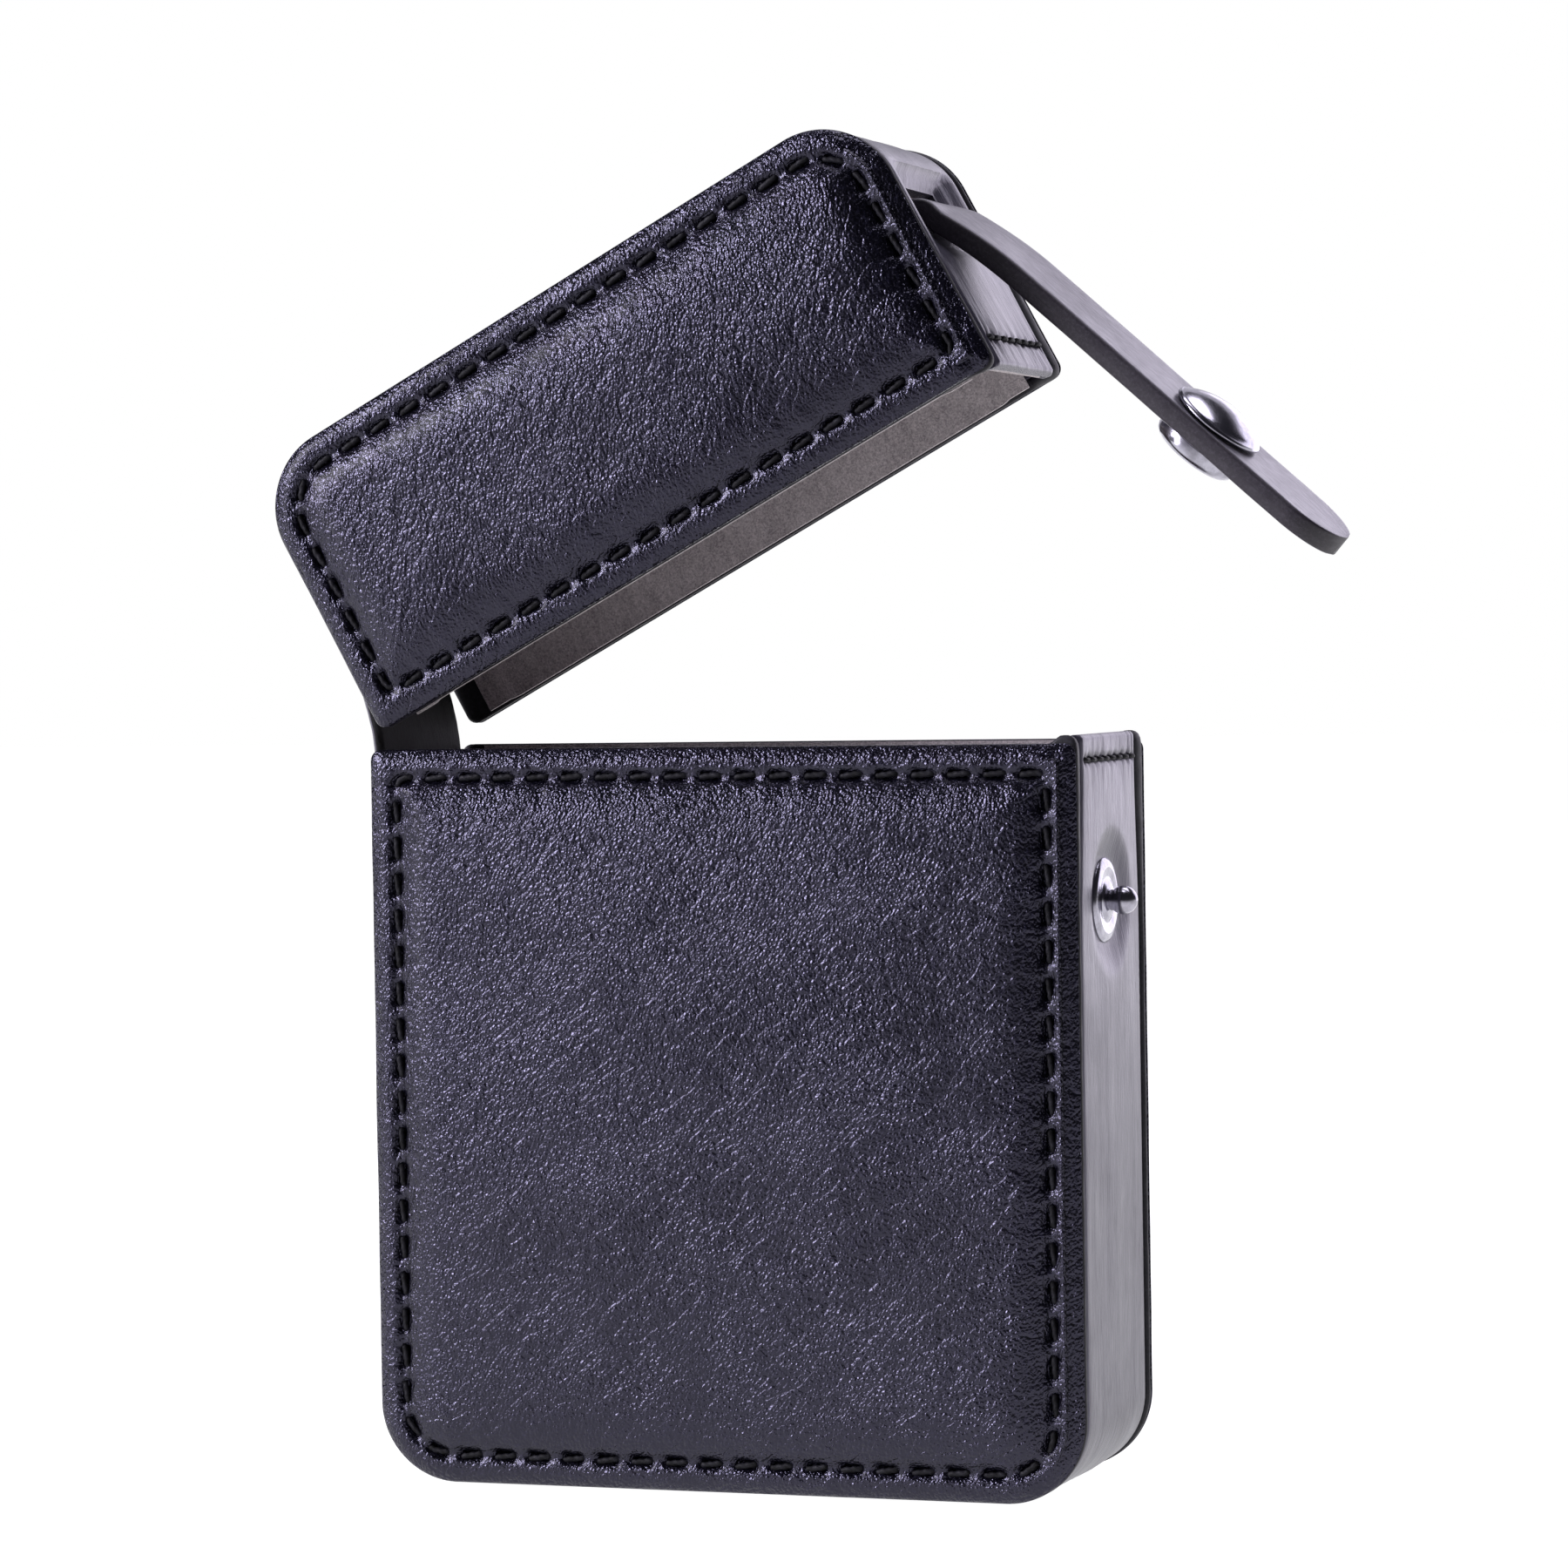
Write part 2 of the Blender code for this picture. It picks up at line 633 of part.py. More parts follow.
def slot_cutter(mount):
    """A slit through the lid's gusset and lining, a little wider than the strap."""
    z = LID_BOTTOM + STRAP_SLOT_Z
    half = STRAP_WIDTH / 2 + SLOT_MARGIN
    low_x = WEB_X - 0.0060
    high_x = WEB_X + 0.0020
    rings = []
    for y in (-half, half):
        ring = [(low_x, y, z - SLOT_DOWN), (high_x, y, z - SLOT_DOWN)]
        ring += [(high_x, y, z + SLOT_UP), (low_x, y, z + SLOT_UP)]
        rings.append(ring)
    return add_piece("slot_cutter", rings, None, mount)


# ---------------------------------------------------------------- assembly
def build():
    remove_everything()
    materials = {
        "leather": make_material("panel_leather", (0.016, 0.015, 0.026), 0.34),
        "gusset": make_material("gusset_leather", (0.060, 0.056, 0.085), 0.36),
        "edge": make_material("painted_edge", (0.020, 0.018, 0.028), 0.40),
        "foam": make_material("foam", (0.45, 0.43, 0.38), 0.90),
        "suede": make_material("suede_lining", (0.120, 0.095, 0.092), 0.95),
        "thread": make_material("thread", (0.030, 0.028, 0.040), 0.60),
        "chrome": make_material("chrome", (0.78, 0.78, 0.80), 0.12, 1.0),
        "steel": make_material("spring_steel", (0.50, 0.50, 0.52), 0.30, 1.0),
    }
    turn = Matrix.Rotation(HINGE_TURN, 4, OPENING_AXIS)
    lower_pivot = Vector((HINGE_X, 0, HINGE_LOWER_Z))
    upper_pivot = lower_pivot + Vector((0, 0, HINGE_LENGTH))
    lower_empty = make_empty("hinge_lower_axis", lower_pivot, turn)
    upper_empty = make_empty("hinge_upper_axis", upper_pivot - lower_pivot, turn, lower_empty)
    body_mount = Mount(None, (0, 0, 0))
    strip_mount = Mount(lower_empty, lower_pivot)
    lid_mount = Mount(upper_empty, upper_pivot)

    for side, side_name in ((-1, "front"), (1, "back")):
        add_panel(f"body_{side_name}", body_outline, side, materials, body_mount)
        add_panel(f"lid_{side_name}", lid_outline, side, materials, lid_mount)

    body_gusset, body_lining = add_gusset("body", body_band(), materials, body_mount)
    lid_gusset, lid_lining = add_gusset("lid", lid_band(), materials, lid_mount)
    add_mouth_thread("body_mouth_thread", BODY_HEIGHT - BODY_THREAD_DOWN, materials, body_mount)
    add_mouth_thread("lid_mouth_thread", LID_BOTTOM + LID_THREAD_UP, materials, lid_mount)
    build_hinge_strip(strip_mount, materials)

    build_anchor(lid_mount, materials)
    slot = slot_cutter(lid_mount)
    cut(lid_gusset, slot)
    cut(lid_lining, slot)

    stud_z = build_strap(lid_mount, materials)
    stud = Vector((WEB_X, 0, stud_z))
    add_stud(stud, materials, body_mount)
    shank_hole = STUD_SHANK_RADIUS + GAP
    stud_cutter = hole_cutter("stud_hole_cutter", shank_hole, -0.0030, 0.0010, stud, body_mount)
    cut(body_gusset, stud_cutter)
    cut(body_lining, stud_cutter)


build()
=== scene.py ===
"""Looks for the flip-top leather case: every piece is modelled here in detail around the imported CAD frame.

Pieces are drawn with the lid shut, in millimetres, and the lid's are carried to the half-open rest pose by
the turn that the record's joints give. A point attribute called grain keeps the shut coordinates for the
materials.
"""

import json
import math

import bmesh
import bpy
import numpy as np
from mathutils import Matrix, Vector


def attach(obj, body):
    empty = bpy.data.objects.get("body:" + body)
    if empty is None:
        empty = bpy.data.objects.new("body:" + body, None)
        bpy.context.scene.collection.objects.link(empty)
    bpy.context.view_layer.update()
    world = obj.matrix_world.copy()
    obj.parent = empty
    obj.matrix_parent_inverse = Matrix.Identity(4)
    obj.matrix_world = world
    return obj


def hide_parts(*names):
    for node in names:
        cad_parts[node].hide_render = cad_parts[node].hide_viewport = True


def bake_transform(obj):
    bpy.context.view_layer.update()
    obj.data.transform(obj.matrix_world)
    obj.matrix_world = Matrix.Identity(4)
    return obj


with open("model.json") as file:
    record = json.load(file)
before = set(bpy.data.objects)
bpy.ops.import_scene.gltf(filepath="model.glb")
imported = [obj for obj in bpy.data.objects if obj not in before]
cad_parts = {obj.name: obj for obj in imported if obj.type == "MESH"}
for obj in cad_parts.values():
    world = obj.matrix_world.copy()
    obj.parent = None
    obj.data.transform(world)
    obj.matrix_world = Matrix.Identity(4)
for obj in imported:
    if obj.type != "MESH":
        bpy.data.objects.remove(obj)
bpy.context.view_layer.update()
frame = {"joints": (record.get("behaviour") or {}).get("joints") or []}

MM = 0.001
SEED = 4100
FULL_TURN = 2 * math.pi

# ---------------------------------------------------------------- the case, in millimetres, as in the CAD
HALF_WIDTH = 39.0
HALF_DEPTH = 14.0
BODY_HEIGHT = 78.0
LID_LOW = 79.2
LID_HIGH = 110.5
CORNER_RADIUS = 8.5
MOUTH_RADIUS = 1.2
SOFT_RADIUS = 4.2
STITCH_INSET = 3.0
STITCH_PITCH = 3.85

SKIN_FLOOR = 13.0
PAD_FLOOR = 13.02
LINING_INSET = 3.5
LINING_MOUTH_INSET = 0.12
LINING_RADIUS = 5.0

WEB_X = 37.5
WEB_INSET = 1.5
GUSSET_INSET = 0.15
GUSSET_THICK = 1.1
FLANGE_OUT = 11.5
FLANGE_WIDTH = 4.5
SHOULDER = 0.9
WEB_STEPS = 46
BODY_GUSSET_TOP = 78.8
BODY_HEM = 76.2
LID_HEM = LID_LOW + 3.3
HEM_PITCH = 2.45
ON_SIDE = 0.99
FOLD_TUCK = 1.15
FOLD_NARROW = 1.1
HINGE_X = -38.9
HINGE_FOOT = 73.9
HINGE_HEAD = 90.3

SLOT_Z = 97.7
STRAP_HALF_WIDTH = 5.7
STRAP_HALF_THICK = 1.15
STRAP_SLOT = (SLOT_Z - 1.6, SLOT_Z + 4.0, STRAP_HALF_WIDTH + 0.5)
STRAP_PIVOT_X = WEB_X + 1.2
STRAP_START = -2.8
STRAP_MEETING = 6.0
STRAP_ROOT_LENGTH = 12.0
STRAP_END = 55.0
STRAP_ROOT_ANGLE = 33.0
STRAP_HANG_ANGLE = 20.0
STRAP_SLOT_ANGLE = 50.0
STRAP_TWIST = 5.0
SNAP_AT = 36.8
BORE_RADIUS = 2.2
BORE_LEFT = 0.15
STUD_Z = 61.4
DISC_LIFT = 0.50
BODY_TONGUE = 0.85
LID_TONGUE = 0.15

# the rings of a wall's skin, by inset from its outline, and the shape of its rounded edge
EDGE_INSETS = (0.0, 0.02, 0.07, 0.16, 0.29, 0.45, 0.70, 0.95, 1.20, 1.42, 1.52, 1.60, 1.68, 1.78, 1.92, 2.10)
LEDGE_INSET = 1.60
LEDGE_DROP = 0.42
EDGE_ROLL = 2.6
EDGE_FALL = 0.85
EDGE_FLOOR = 13.12
FINE_STEP = 0.24
FINE_END = 7.6
COARSE_STEP = 0.36

JOINTS = {joint["name"]: joint for joint in frame["joints"]}


# ---------------------------------------------------------------- from shut to rest
def joint_place(name):
    return Vector(JOINTS[name]["pos_m"])


def lid_turn():
    """The matrix that carries the shut lid to rest."""
    lower = joint_place("lid_hinge_lower")
    upper = joint_place("lid_hinge_upper")
    degrees = -sum(JOINTS[name]["range_deg"][0] for name in ("lid_hinge_lower", "lid_hinge_upper"))
    turn = Matrix.Rotation(math.radians(degrees), 4, Vector(JOINTS["lid_hinge_lower"]["axis"]))
    shut_upper = lower + Vector((0, 0, (upper - lower).length))
    return Matrix.Translation(upper) @ turn @ Matrix.Translation(-shut_upper)


LID_TURN = lid_turn()
BODY_TURN = Matrix.Identity(4)


# ---------------------------------------------------------------- numbers
def smooth(value, start, end):
    """0 before start, 1 after end, smooth between."""
    share = np.clip((np.asarray(value, float) - start) / (end - start), 0.0, 1.0)
    return share * share * (3 - 2 * share)


def bell(value, width):
    """A bump of height 1 round 0."""
    return np.exp(-((np.asarray(value, float) / width) ** 2))


class Noise:
    """Smooth gradient noise on a seeded lattice, from about -1 to 1."""

    SIZE = 256

    def __init__(self, seed):
        angle = np.random.default_rng(SEED + seed).uniform(0, FULL_TURN, (self.SIZE, self.SIZE))
        self.slope = (np.cos(angle), np.sin(angle))

    def corner(self, cell_x, cell_y, part_x, part_y):
        row = cell_x % self.SIZE
        column = cell_y % self.SIZE
        return self.slope[0][row, column] * part_x + self.slope[1][row, column] * part_y

    def __call__(self, x, y):
        x, y = np.broadcast_arrays(np.asarray(x, float), np.asarray(y, float))
        cell_x = np.floor(x).astype(int)
        cell_y = np.floor(y).astype(int)
        part_x = x - cell_x
        part_y = y - cell_y
        ease_x, ease_y = (part**3 * (part * (part * 6 - 15) + 10) for part in (part_x, part_y))
        low, high = (
            self.corner(cell_x, cell_y + up, part_x, part_y - up) * (1 - ease_x)
            + self.corner(cell_x + 1, cell_y + up, part_x - 1, part_y - up) * ease_x
            for up in (0, 1)
        )
        return 1.5 * (low * (1 - ease_y) + high * ease_y)


# ---------------------------------------------------------------- materials
class Graph:
    """A node material with one Principled shader; its textures lie in the grain coordinates."""

    def __init__(self, name, on_floor=False):
        self.material = bpy.data.materials.new(name)
        self.material.use_nodes = True
        self.tree = self.material.node_tree
        self.shader = self.tree.nodes["Principled BSDF"]
        if on_floor:
            self.at = self.node("ShaderNodeTexCoord").outputs["Object"]
        else:
            self.at = self.node("ShaderNodeAttribute", {"attribute_name": "grain"}).outputs["Vector"]

    def node(self, kind, settings=None, **inputs):
        made = self.tree.nodes.new(kind)
        for key, value in (settings or {}).items():
            setattr(made, key, value)
        for key, value in inputs.items():
            self.put(made, key.replace("_", " "), value)
        return made

    def put(self, made, key, value):
        socket = made.inputs[int(key)] if key.isdigit() else made.inputs[key]
        if isinstance(value, bpy.types.NodeSocket):
            self.tree.links.new(value, socket)
        else:
            socket.default_value = value

    def set(self, **inputs):
        for key, value in inputs.items():
            self.put(self.shader, key.replace("_", " "), value)

    def spread(self, scale, turn, at):
        """Coordinates and scale for a texture; three scales stretch it, after a turn about Y in radians."""
        at = self.at if at is None else at
        if not isinstance(scale, tuple):
            return at, scale
        if turn is not None:
            spun = self.node("ShaderNodeVectorRotate", {"rotation_type": "Y_AXIS"}, Vector=at, Angle=turn)
            at = spun.outputs[0]
        mapped = self.node("ShaderNodeMapping", {"vector_type": "POINT"}, Vector=at, Scale=scale)
        return mapped.outputs[0], 1.0

    def noise(self, scale, detail=2.0, roughness=0.5, distortion=0.0, turn=None, at=None):
        at, scale = self.spread(scale, turn, at)
        settings = {"Scale": scale, "Detail": detail, "Roughness": roughness, "Distortion": distortion}
        return self.node("ShaderNodeTexNoise", Vector=at, **settings).outputs[0]

    def cells(self, scale, feature="F1", turn=None, at=None):
        at, scale = self.spread(scale, turn, at)
        made = self.node("ShaderNodeTexVoronoi", {"feature": feature}, Vector=at, Scale=scale)
        return made.outputs["Distance"]

    def math(self, operation, first, second=0.0):
        return self.node("ShaderNodeMath", {"operation": operation}, **{"0": first, "1": second}).outputs[0]

    def span(self, value, low, high, start=0.0, end=1.0):
        """value from low..high carried to start..end, and held there."""
        ends = {"From_Min": low, "From_Max": high, "To_Min": start, "To_Max": end}
        return self.node("ShaderNodeMapRange", {"clamp": True}, Value=value, **ends).outputs[0]

    def mix(self, share, first, second):
        """A colour between two."""
        made = self.node("ShaderNodeMix", {"data_type": "RGBA"}, **{"0": share})
        for key, value in (("6", first), ("7", second)):
            self.put(made, key, (*value, 1.0) if isinstance(value, tuple) else value)
        return made.outputs[2]

    def add(self, *parts):
        """The sum of (value, weight) pairs."""
        total = None
        for value, weight in parts:
            scaled = self.math("MULTIPLY", value, weight)
            total = scaled if total is None else self.math("ADD", total, scaled)
        return total

    def color(self, value, low, high, first, second):
        """Base colour from first to second as value goes from low to high."""
        self.set(Base_Color=self.mix(self.span(value, low, high), first, second))

    def bump(self, height, depth_mm):
        made = self.node("ShaderNodeBump", Height=height, Distance=depth_mm * MM, Strength=1.0)
        self.set(Normal=made.outputs["Normal"])


def panel_leather():
    """Waxed near-black leather: a pebble grain that runs in streaks, with cloudy waxed patches, and a base
    colour lighter on the raised streaks: painted highlight specks, together with rubbed wax.
    """
    graph = Graph("panel_leather")
    cloud = graph.noise(55.0, 3.0, 0.55, 0.4)
    patch = graph.noise(170.0, 4.0, 0.6, 0.6)
    drift = graph.node("ShaderNodeTexNoise", Vector=graph.at, Scale=60.0, Detail=1.0).outputs["Color"]
    pushed = graph.node("ShaderNodeVectorMath", {"operation": "SCALE"}, Vector=drift, Scale=0.0035).outputs[0]
    sum_of = {"0": graph.at, "1": pushed}
    drifted = graph.node("ShaderNodeVectorMath", {"operation": "ADD"}, **sum_of).outputs[0]
    streak = graph.noise((2900.0, 2900.0, 1050.0), 2.0, 0.6, turn=-0.42, at=drifted)
    pebble = graph.cells((3300.0, 3300.0, 2300.0), turn=-0.42, at=drifted)
    crease = graph.noise((360.0, 360.0, 150.0), 2.0, 0.6, turn=-0.80, at=drifted)
    crease = graph.span(graph.math("ABSOLUTE", graph.math("SUBTRACT", crease, 0.5)), 0.0, 0.045)
    fine = graph.noise(4000.0, 1.0, 0.5)
    height = graph.add((streak, 1.3), (pebble, -1.2), (crease, 0.72), (fine, 1.0))
    worn = graph.span(graph.add((cloud, 0.5), (patch, 0.5)), 0.40, 0.62, 0.72, 1.25)
    graph.bump(graph.math("MULTIPLY", height, worn), 0.080)
    wax = graph.add((cloud, 0.6), (patch, 0.4))
    tone = graph.mix(graph.span(wax, 0.38, 0.66), (0.0008, 0.0007, 0.0014), (0.0026, 0.0023, 0.0054))
    # painted highlight: the base colour is lighter where the grain stands highest, where glints would fall,
    # together with rubbed wax
    lighter_marks = graph.add((streak, 0.55), (fine, 0.45))
    graph.color(lighter_marks, 0.52, 0.68, tone, (0.0085, 0.0080, 0.0165))
    graph.set(Roughness=graph.span(wax, 0.36, 0.64, 0.27, 0.16))
    graph.set(Specular_IOR_Level=0.50, Specular_Tint=(0.73, 0.70, 1.0, 1.0))
    graph.set(Coat_Weight=0.10, Coat_Roughness=0.20, Coat_IOR=1.45)
    return graph.material


def band_leather(name, low, high, roughness, streak_scale, depth):
    """Smoother leather whose fine streaks run along the band (the grain's Z)."""
    graph = Graph(name)
    cloud = graph.noise(90.0, 3.0, 0.6, 0.3)
    streak = graph.noise(streak_scale, 3.0, 0.65)
    crease = graph.cells(tuple(0.35 * part for part in streak_scale), "DISTANCE_TO_EDGE")
    pebble = graph.cells(2600.0)
    fine = graph.noise(7000.0, 2.0, 0.6)
    creased = graph.span(crease, 0.0, 0.10)
    graph.bump(graph.add((streak, 0.8), (creased, 0.25), (pebble, -0.2), (fine, 0.2)), depth)
    worn = graph.add((cloud, 0.5), (streak, 0.5))
    graph.color(worn, 0.36, 0.66, low, high)
    graph.set(Roughness=graph.span(worn, 0.35, 0.65, roughness + 0.09, roughness - 0.05))
    graph.set(Specular_IOR_Level=0.62, Specular_Tint=(0.84, 0.78, 1.0, 1.0))
    graph.set(Coat_Weight=0.15, Coat_Roughness=0.28)
    return graph.material


def painted_edge(name, low, high, roughness):
    """Burnished painted edges: nearly smooth, with small scuffs and drips of paint."""
    graph = Graph(name)
    drip = graph.noise(420.0, 3.0, 0.6)
    scuff = graph.noise(3200.0, 3.0, 0.7)
    graph.bump(graph.add((drip, 0.7), (scuff, 0.3)), 0.06)
    graph.color(scuff, 0.45, 0.75, low, high)
    graph.set(Roughness=graph.span(drip, 0.35, 0.65, roughness + 0.08, roughness - 0.05))
    graph.set(Specular_IOR_Level=0.36)
    return graph.material


def suede_lining():
    """Brushed taupe lining with a short nap."""
    graph = Graph("suede_lining")
    nap = graph.noise(5200.0, 3.0, 0.7)
    brushed = graph.noise((1500.0, 1500.0, 420.0), 3.0, 0.6)
    cloud = graph.noise(130.0, 3.0, 0.6)
    tone = graph.add((nap, 0.65), (brushed, 0.20), (cloud, 0.15))
    graph.color(tone, 0.36, 0.66, (0.24, 0.215, 0.225), (0.74, 0.68, 0.69))
    graph.bump(graph.add((nap, 0.7), (brushed, 0.3)), 0.11)
    graph.set(Roughness=graph.span(nap, 0.3, 0.7, 0.80, 0.97))
    graph.set(Sheen_Weight=0.55, Sheen_Roughness=0.45, Sheen_Tint=(0.85, 0.78, 0.78, 1.0))
    graph.set(Specular_IOR_Level=0.2)
    return graph.material


def thread():
    """Waxed thread, lighter where it is rubbed."""
    graph = Graph("thread")
    lighter_marks = graph.noise(900.0, 3.0, 0.6)
    graph.color(lighter_marks, 0.38, 0.66, (0.0025, 0.0023, 0.0032), (0.012, 0.0115, 0.016))
    graph.bump(graph.noise(9000.0, 2.0, 0.6), 0.03)
    graph.set(Roughness=graph.span(lighter_marks, 0.35, 0.65, 0.66, 0.50))
    graph.set(Specular_IOR_Level=0.16)
    return graph.material


def flesh_side():
    """The dark, brushed flesh side of the hinge leather."""
    graph = Graph("flesh_side")
    nap = graph.noise((3800.0, 3800.0, 900.0), 3.0, 0.65)
    cloud = graph.noise(160.0, 3.0, 0.6)
    tone = graph.add((nap, 0.6), (cloud, 0.4))
    graph.color(tone, 0.36, 0.66, (0.010, 0.0098, 0.0105), (0.040, 0.039, 0.042))
    graph.bump(nap, 0.10)
    graph.set(Roughness=graph.span(nap, 0.3, 0.7, 0.72, 0.92))
    graph.set(Specular_IOR_Level=0.22)
    return graph.material


def foam():
    """Open foam under the leather."""
    graph = Graph("foam")
    cloud = graph.noise(300.0, 3.0, 0.6)
    graph.color(cloud, 0.35, 0.65, (0.38, 0.35, 0.30), (0.55, 0.52, 0.46))
    graph.bump(graph.cells(2200.0), 0.12)
    graph.set(Roughness=graph.span(cloud, 0.3, 0.7, 0.85, 0.98))
    return graph.material


def metal(name, low, high, roughness, brush):
    """Polished or drawn metal with faint handling marks."""
    graph = Graph(name)
    mark = graph.noise(700.0, 4.0, 0.65)
    hair = graph.noise((9000.0, 1500.0, 1500.0), 2.0, 0.6)
    graph.color(mark, 0.40, 0.70, high, low)
    graph.bump(graph.add((mark, 0.5), (hair, 0.5)), brush)
    graph.set(Roughness=graph.span(mark, 0.35, 0.70, roughness, roughness + 0.12))
    graph.set(Metallic=1.0)
    return graph.material


def make_finishes():
    """Every material, by its name without Blender's number."""
    gusset = ((0.026, 0.024, 0.036), (0.060, 0.056, 0.078), 0.34, (3400.0, 3400.0, 320.0), 0.044)
    strap = ((0.060, 0.056, 0.070), (0.115, 0.106, 0.130), 0.36, (2200.0, 2200.0, 700.0), 0.022)
    made = (
        panel_leather(),
        band_leather("gusset_leather", *gusset),
        band_leather("strap_leather", *strap),
        painted_edge("painted_edge", (0.006, 0.0055, 0.009), (0.020, 0.018, 0.028), 0.58),
        painted_edge("strap_painted_edge", (0.022, 0.0185, 0.025), (0.046, 0.040, 0.052), 0.46),
        suede_lining(),
        flesh_side(),
        thread(),
        foam(),
        metal("chrome", (0.27, 0.262, 0.30), (0.41, 0.40, 0.46), 0.14, 0.002),
        metal("spring_steel", (0.42, 0.42, 0.45), (0.62, 0.62, 0.66), 0.24, 0.010),
    )
    return {material.name.split(".")[0]: material for material in made}


FINISHES = make_finishes()


# ---------------------------------------------------------------- meshes
def make_object(name, points, faces, finishes, turn=BODY_TURN, grain=None, sharp=None, second=None):
    """An object from points in millimetres, drawn shut, carried to rest by turn."""
    points = np.asarray(points, float).reshape(-1, 3)
    grain = points if grain is None else np.asarray(grain, float).reshape(-1, 3)
    mesh = bpy.data.meshes.new(name)
    mesh.from_pydata((points * MM).tolist(), [], faces)
    mesh.transform(turn)
    form = bmesh.new()
    form.from_mesh(mesh)
    bmesh.ops.recalc_face_normals(form, faces=form.faces)
    form.to_mesh(mesh)
    form.free()
    mesh.shade_smooth()
    if sharp is not None:
        mesh.set_sharp_from_angle(angle=math.radians(sharp))
    for finish in finishes:
        mesh.materials.append(FINISHES[finish])
    if second is not None:
        mesh.polygons.foreach_set("material_index", np.asarray(second, np.int32))
    store = mesh.attributes.new("grain", "FLOAT_VECTOR", "POINT")
    store.data.foreach_set("vector", (grain * MM).astype(np.float32).ravel())
    thing = bpy.data.objects.new(name, mesh)
    bpy.context.scene.collection.objects.link(thing)
    return thing


def loft_faces(rings, count, closed=False, caps=True, first=0):
    """Quads between closed rings of count points; the rings follow each other from the first vertex."""
    faces = []
    for ring in range(rings if closed else rings - 1):
        low = first + ring * count
        high = first + ((ring + 1) % rings) * count
        for step in range(count):
            after = (step + 1) % count
            faces.append((low + step, low + after, high + after, high + step))
    if caps and not closed:
        faces.append(tuple(first + step for step in reversed(range(count))))
        last = first + (rings - 1) * count
        faces.append(tuple(last + step for step in range(count)))
    return faces


def place_piece(thing, body, slot, *nodes):
    """Ride on a body and stand for CAD nodes; slot is not used."""
    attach(thing, body)
    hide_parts(*nodes)
    return thing


def thread_offsets(radius, lobes, twist, around):
    """Offsets across a twisted thread, by ring and step: radius and twist go by ring."""
    angle = FULL_TURN * np.arange(around) / around
    reach = radius[:, None] * (1 + lobes * np.cos(2 * (angle + twist[:, None])))
    return reach * np.cos(angle), reach * np.sin(angle)


def thread_taper(share, least):
    """The thickness of a stitch by its share of the length: least at its ends."""
    return least + (1 - least) * np.sqrt(np.clip(1 - np.abs(2 * share - 1) ** 6, 0, 1))


